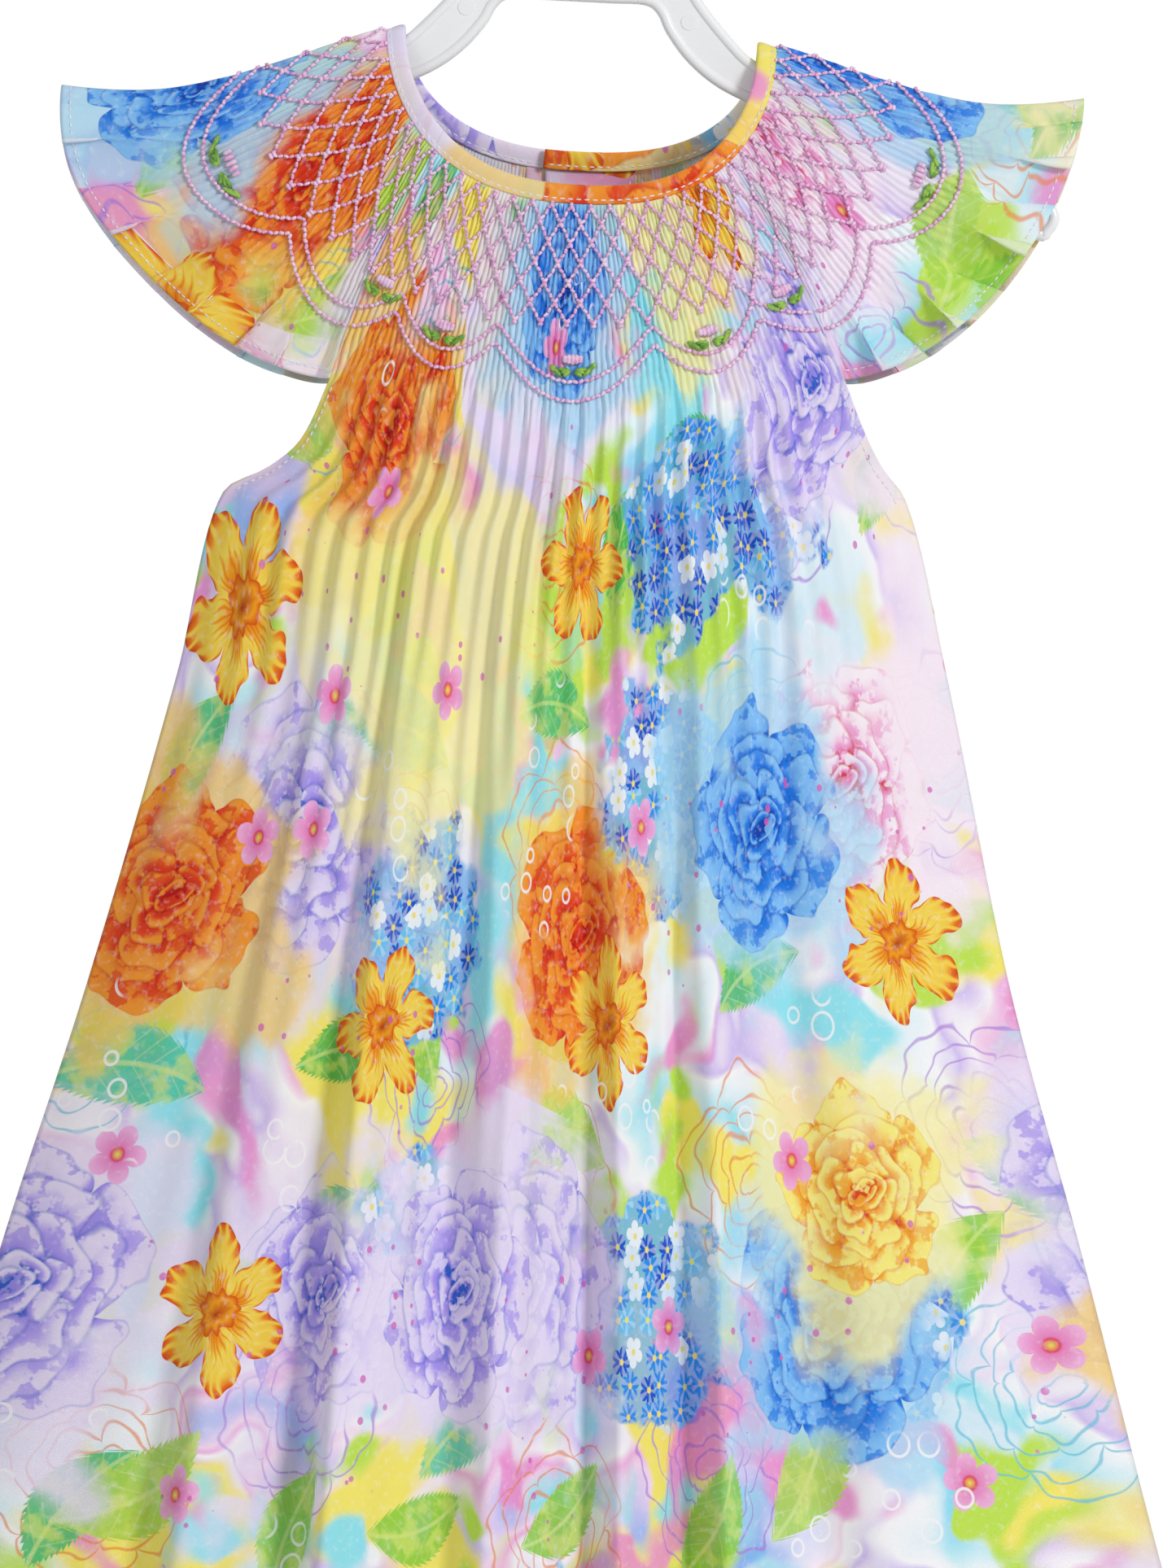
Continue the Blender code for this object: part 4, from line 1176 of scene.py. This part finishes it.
fitted(shown_piece("hanger_moulding", meshed("hanger_moulding", bm), [plastic]), "hanger")


# Smocking stitches
# Two strands of silky pink cotton: a lattice of diamonds with a knot at each crossing, two scalloped cable
# rows below it, and at each scallop a striped rosebud over two green leaves.
LATTICE_ROWS = (4.6, 11.0, 18.0, 25.5, 33.0, 40.5, 48.0)
SCALLOP_GAP = 7.0
STITCH_LIFT = 0.55
PINK, GREEN, PALE_PINK = 0.0, 1.0, 2.0


def unpleated(u, s):
    return 0 * u


def on_body(face, scallops, way=1):
    """Function that gives points and normals on the front or back, just over the pleats."""
    return lambda u, distance: body_cloth(
        face, way * u, distance / (1 + YOKE_SPREAD * u**2), STITCH_LIFT, scallops, unpleated
    )


def on_sleeve(side):
    """Function that gives points and normals on a sleeve."""
    return lambda v, distance: sleeve_cloth(side, v, distance / sleeve_length(v), STITCH_LIFT, unpleated)


def add_stitches(found, first, last, normal, radius, shade):
    """Keeps stitches from first to last points, in mm."""
    found.append((first, last, normal, *(np.broadcast_to(value, len(first)) for value in (radius, shade))))


def line_stitches(found, surface, u, distance, length, radius, lean):
    """Stitches along a line on the cloth given by close places, leaning to one side and the other in turn."""
    points, normals = surface(u, distance)
    run = run_along(points)
    count = max(1, int(round(run[-1] / length)))
    ends = np.linspace(0, run[-1], count + 1)
    at_ends = between(ends, run, points)
    normal = between((ends[:-1] + ends[1:]) / 2, run, normals)
    along = at_ends[1:] - at_ends[:-1]
    swing = unit(np.cross(along, normal)) * lean * np.where(np.arange(count) % 2 == 0, 1, -1)[:, None]
    reach = along * 0.06
    add_stitches(found, at_ends[:-1] - swing - reach, at_ends[1:] + swing + reach, normal, radius, PINK)


def knots(found, surface, u, distance, step):
    """Two short stitches side by side across the pleats at each place."""
    for shift in (-0.65, 0.65):
        left, normal = surface(u - step, distance + shift)
        right, other = surface(u + step, distance + shift)
        add_stitches(found, left + normal * 0.25, right + other * 0.25, normal, 0.74, PINK)


def rosebud(found, surface, u, distance, step):
    """Striped bud of five stitches over two green leaves; step is the share of the panel in a millimetre."""

    def at(across, down):
        return surface(np.array([u + across * step]), np.array([distance + down]))

    for k in range(-2, 3):
        top, normal = at(k * 1.25, -3.2 + 0.3 * abs(k))
        low, other = at(k * 1.25, 1.8 - 0.4 * abs(k))
        add_stitches(found, top + normal * 0.5, low + other * 0.5, normal, 0.95, PINK if k % 2 else PALE_PINK)
    for way in (-1, 1):
        for bow, wide in ((-1.0, 0.8), (0.0, 0.7), (1.0, 0.8)):
            root, _ = at(way * 0.5, 3.4)
            middle, normal = at(way * (4.0 + bow * 0.9), 4.2 - bow * 1.5)
            tip, _ = at(way * 7.4, 1.2 - 0.6 * way)
            lift = normal * 0.35
            add_stitches(found, root + lift, middle + lift, normal, wide, GREEN)
            add_stitches(found, middle + lift, tip + lift, normal, wide, GREEN)


def smock(surface, columns, scallops, buds, step):
    """All the stitches of one panel: columns are its whole diamonds, buds the places of its rosebuds."""
    found = []
    count = len(columns) - 1
    line = np.linspace(0, 1, 9)

    def column(places):
        return np.interp(places, np.arange(count + 1), columns)

    def height(places, row):
        return LATTICE_ROWS[row] + 0.35 * np.sin(places * 5.1 + row * 2.3)

    for row in range(len(LATTICE_ROWS)):
        crossings = np.arange(row % 2 / 2, count + 1e-6, 1.0)
        knots(found, surface, column(crossings), height(crossings, row), step * 1.05)
        for place in crossings if row + 1 < len(LATTICE_ROWS) else ():
            for way in (-0.5, 0.5):
                if 0 <= place + way <= count:
                    begin, end = height(place, row), height(place + way, row + 1)
                    bow = 0.35 * math.sin(place * 3.7 + row * 1.9 + way) * np.sin(np.pi * line)
                    run = begin + (end - begin) * line + bow
                    line_stitches(found, surface, column(place + way * line), run, 2.3, 0.60, 0.36)
    ends = np.linspace(columns[0], columns[-1], 500)
    for shift in (0.0, SCALLOP_GAP):
        line_stitches(found, surface, ends, scallops(ends) + shift, 2.1, 0.68, 0.5)
    for u in buds:
        rosebud(found, surface, u, float(scallops(np.array(u))) - 7.5, step)
    return found


def stitched(name, found, threads):
    """One piece of spindle-shaped stitches: six corners round each of its two rings, a point at each end."""
    first, last, normal, radius, shade = (np.concatenate([item[k] for item in found]) for k in range(5))
    radius = radius[:, None]
    along = last - first
    across = unit(np.cross(unit(along), normal))
    up = np.cross(across, unit(along))
    points = np.zeros((len(first), 14, 3))
    points[:, 0] = first - up * radius * 0.5
    points[:, 13] = last - up * radius * 0.5
    for ring, part in ((1, 0.24), (7, 0.76)):
        for k in range(6):
            turn = math.pi * k / 3
            spoke = across * math.cos(turn) + up * math.sin(turn) * 0.8
            points[:, ring + k] = first + along * part + spoke * radius
    faces = []
    for k in range(1, 7):
        after = k % 6 + 1
        faces += [(0, after, k), (k, after, after + 6), (k, after + 6, k + 6), (k + 6, after + 6, 13)]
    every = (np.array(faces) + 14 * np.arange(len(first))[:, None, None]).reshape(-1, 3)
    mesh = bpy.data.meshes.new(name)
    mesh.from_pydata((points.reshape(-1, 3) * MM).tolist(), [], every.tolist())
    mesh.polygons.foreach_set("material_index", np.repeat(shade.astype(np.int32), len(faces)))
    mesh.polygons.foreach_set("use_smooth", np.ones(len(every), dtype=bool))
    mesh.update()
    piece = shown_piece(name, mesh, threads)
    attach(piece, "root")


def thread(name, light, dark):
    """Stranded cotton: a soft sheen, its colour shifting a little from stitch to stitch."""

    def paints(tree):
        place = node(tree, "TexCoord", {}, 3)
        return {
            "Base Color": place.noise(420.0).ease(0.38, 0.62).tint(dark, light),
            "Roughness": 0.45,
            "Sheen Weight": 0.25,
            "Sheen Roughness": 0.3,
            "Normal": place.noise(4200.0, 1.0).bump(0.5, 0.0002),
        }

    return shaded(name, paints)


silks = [
    thread("pink_thread", (0.97, 0.70, 0.90), (0.84, 0.42, 0.74)),
    thread("green_thread", (0.34, 0.60, 0.08), (0.14, 0.36, 0.04)),
    thread("pale_pink_thread", (0.90, 0.66, 0.84), (0.78, 0.48, 0.72)),
]
white = thread("white_thread", (0.92, 0.92, 0.94), (0.80, 0.80, 0.84))
front_columns = np.linspace(-1, 1, 18)
sleeve_columns = np.concatenate([np.linspace(-1, 0, 9), np.linspace(0, 1, 7)[1:]])
back = (np.linspace(BAND_SHARE + 0.02, 1, 6), back_scallops, (0.22, 0.6), 1 / 76.0)
sleeve = (sleeve_columns, sleeve_scallops, (-0.33, 0.33), 1 / 68.0)
front_buds = (-0.5925, -0.0275, 0.535, -0.91, 0.90)
for name, surface, (columns, scallops, buds, step) in (
    ("front_panel", on_body(-1, front_scallops), (front_columns, front_scallops, front_buds, 1 / 76.0)),
    ("back_left", on_body(1, back_scallops, -1), back),
    ("back_right", on_body(1, back_scallops), back),
    ("sleeve_left", on_sleeve(-1), sleeve),
    ("sleeve_right", on_sleeve(1), sleeve),
):
    found = smock(surface, np.clip(columns, -SIDEMOST, SIDEMOST), scallops, buds, step)
    stitched(name + "_smocking", found, silks)


# Topstitching
# White machine stitches along the binding, the sleeve and skirt hems, the armhole edges and the plackets.
STITCH_LENGTH = 2.3
STITCH_STEP = 3.0
HEM_ROW = 552.0


def topstitch(slot, lines, name=""):
    """Rows of machine stitches along lines of points with normals, in mm."""
    found = []
    for points, normals in lines:
        run = run_along(points)
        starts = np.arange(0.4, run[-1] - 2.6, STITCH_STEP)
        ends = [between(starts + reach, run, points) for reach in (0.0, STITCH_LENGTH)]
        add_stitches(found, *ends, between(starts + 1.1, run, normals), 0.30, 0.0)
    stitched((name or slot) + "_topstitch", found, [white])


low = centre + down * 2.0
topstitch("neck_binding", [(low + out * 0.95, out), (low - out, -out)], "binding")
v = np.linspace(-0.98, 0.98, 600)
for side, name in ((-1, "sleeve_left"), (1, "sleeve_right")):
    topstitch(name, [sleeve_cloth(side, v, 1 - 3.6 / sleeve_length(v), 0.1)])
s = np.linspace(76.0, 128.0, 80)
edges = [body_cloth(-1, side * (0.975 + 0 * s), s, 0.15, front_scallops, front_pleats) for side in (-1, 1)]
hem = body_cloth(-1, np.linspace(-0.99, 0.99, 900), np.full(900, HEM_ROW), 0.1, front_scallops, front_pleats)
topstitch("front_panel", edges + [hem], "front")
for side, name in ((-1, "back_left"), (1, "back_right")):
    u = side * np.linspace(0.01, 0.99, 450)
    topstitch(name, [body_cloth(1, u, np.full(450, HEM_ROW), 0.1, back_scallops, back_pleats)])
s = np.linspace(6.0, 148.0, 120)
for name, places, offset in (("placket_over", (-18.2, 4.7), 2.25), ("placket_under", (-11.7, 18.2), -2.1)):
    lines = [on_band(place + 0 * s, s, offset) for place in places]
    topstitch(name, [(points, normals * np.sign(offset)) for points, normals in lines])


# Buttons
# Pearly round buttons with a raised rim and four holes, sewn through with white thread. The holes are not
# cut: each is a near-black disc just over the face, painted shade for its hollow.
BUTTON_ROWS = (14.0, 60.0, 106.0)
BUTTON_STEPS = 48
# Half section of a button from its back to its front: radius and height, in mm.
BUTTON_BACK = ((0.0, 0.0), (4.9, 0.0), (5.4, 0.4), (5.5, 1.1))
BUTTON_FRONT = ((5.4, 1.8), (4.9, 2.3), (4.2, 2.3), (3.7, 1.8), (0.0, 1.6))
HOLE = 1.3


def pearl_paints(tree):
    swirl = node(tree, "TexCoord", {}, 3).noise(260.0, 3.0, Distortion=1.5)
    stops = ((0.3, (0.80, 0.74, 0.84)), (0.5, (0.92, 0.90, 0.92)), (0.7, (0.78, 0.86, 0.90)))
    return {"Base Color": swirl.ramp(stops), "Roughness": swirl.fit(0.2, 0.12), "Coat Weight": 0.5}


# Painted shade: near-black speckled colour for the discs that stand for the shaded hollows of the button
# holes.
def hole_painted_shade(tree):
    speck = node(tree, "TexCoord", {}, 3).noise(2000.0)
    return {"Base Color": speck.tint((0.03, 0.03, 0.04), (0.10, 0.10, 0.12)), "Roughness": 0.8}


pearl = shaded("pearl", pearl_paints)
# dark is the painted shade of the holes: dark discs in place of real openings.
dark = shaded("button_hole", hole_painted_shade)
for number, s in enumerate(BUTTON_ROWS, start=1):
    normal = body_normal(1, np.array(0.001), np.array(s))
    seat = body_base(1, np.array(0.001), np.array(s)) + normal * 2.65
    lay = Matrix.Translation(Vector(seat * MM)) @ Vector(normal).to_track_quat("Z", "Y").to_matrix().to_4x4()
    bm = bmesh.new()
    corners = [bm.verts.new((radius * MM, 0, height * MM)) for radius, height in BUTTON_BACK + BUTTON_FRONT]
    edges = [bm.edges.new(pair) for pair in zip(corners, corners[1:])]
    turn = {"axis": (0, 0, 1), "cent": (0, 0, 0), "angle": math.tau, "steps": BUTTON_STEPS, "use_merge": True}
    bmesh.ops.spin(bm, geom=corners + edges, **turn)
    bmesh.ops.remove_doubles(bm, verts=bm.verts, dist=0.01 * MM)
    bmesh.ops.recalc_face_normals(bm, faces=bm.faces)
    for face in bm.faces:
        face.smooth = True
    # Four near-black discs just over the face, in the painted-shade material, stand for the holes.
    for x, y in ((-HOLE, -HOLE), (HOLE, -HOLE), (HOLE, HOLE), (-HOLE, HOLE)):
        spot = Matrix.Translation((x * MM, y * MM, 1.78 * MM))
        made = bmesh.ops.create_circle(bm, cap_ends=True, radius=0.55 * MM, segments=14, matrix=spot)
        for face in {face for vert in made["verts"] for face in vert.link_faces}:
            face.material_index = 1
    for y in (-HOLE, HOLE):
        for shift in (-0.22, 0.22):
            bow = [(x, y + shift, z) for x, z in ((-HOLE, 1.5), (-0.8, 2.05), (0.8, 2.05), (HOLE, 1.5))]
            add_tube(bm, bow, 0.2, 6, False, 2)
    bmesh.ops.transform(bm, matrix=lay, verts=bm.verts)
    name = "button_%d" % number
    fitted(shown_piece(name + "_pearl", meshed(name + "_pearl", bm), [pearl, dark, white]), name)
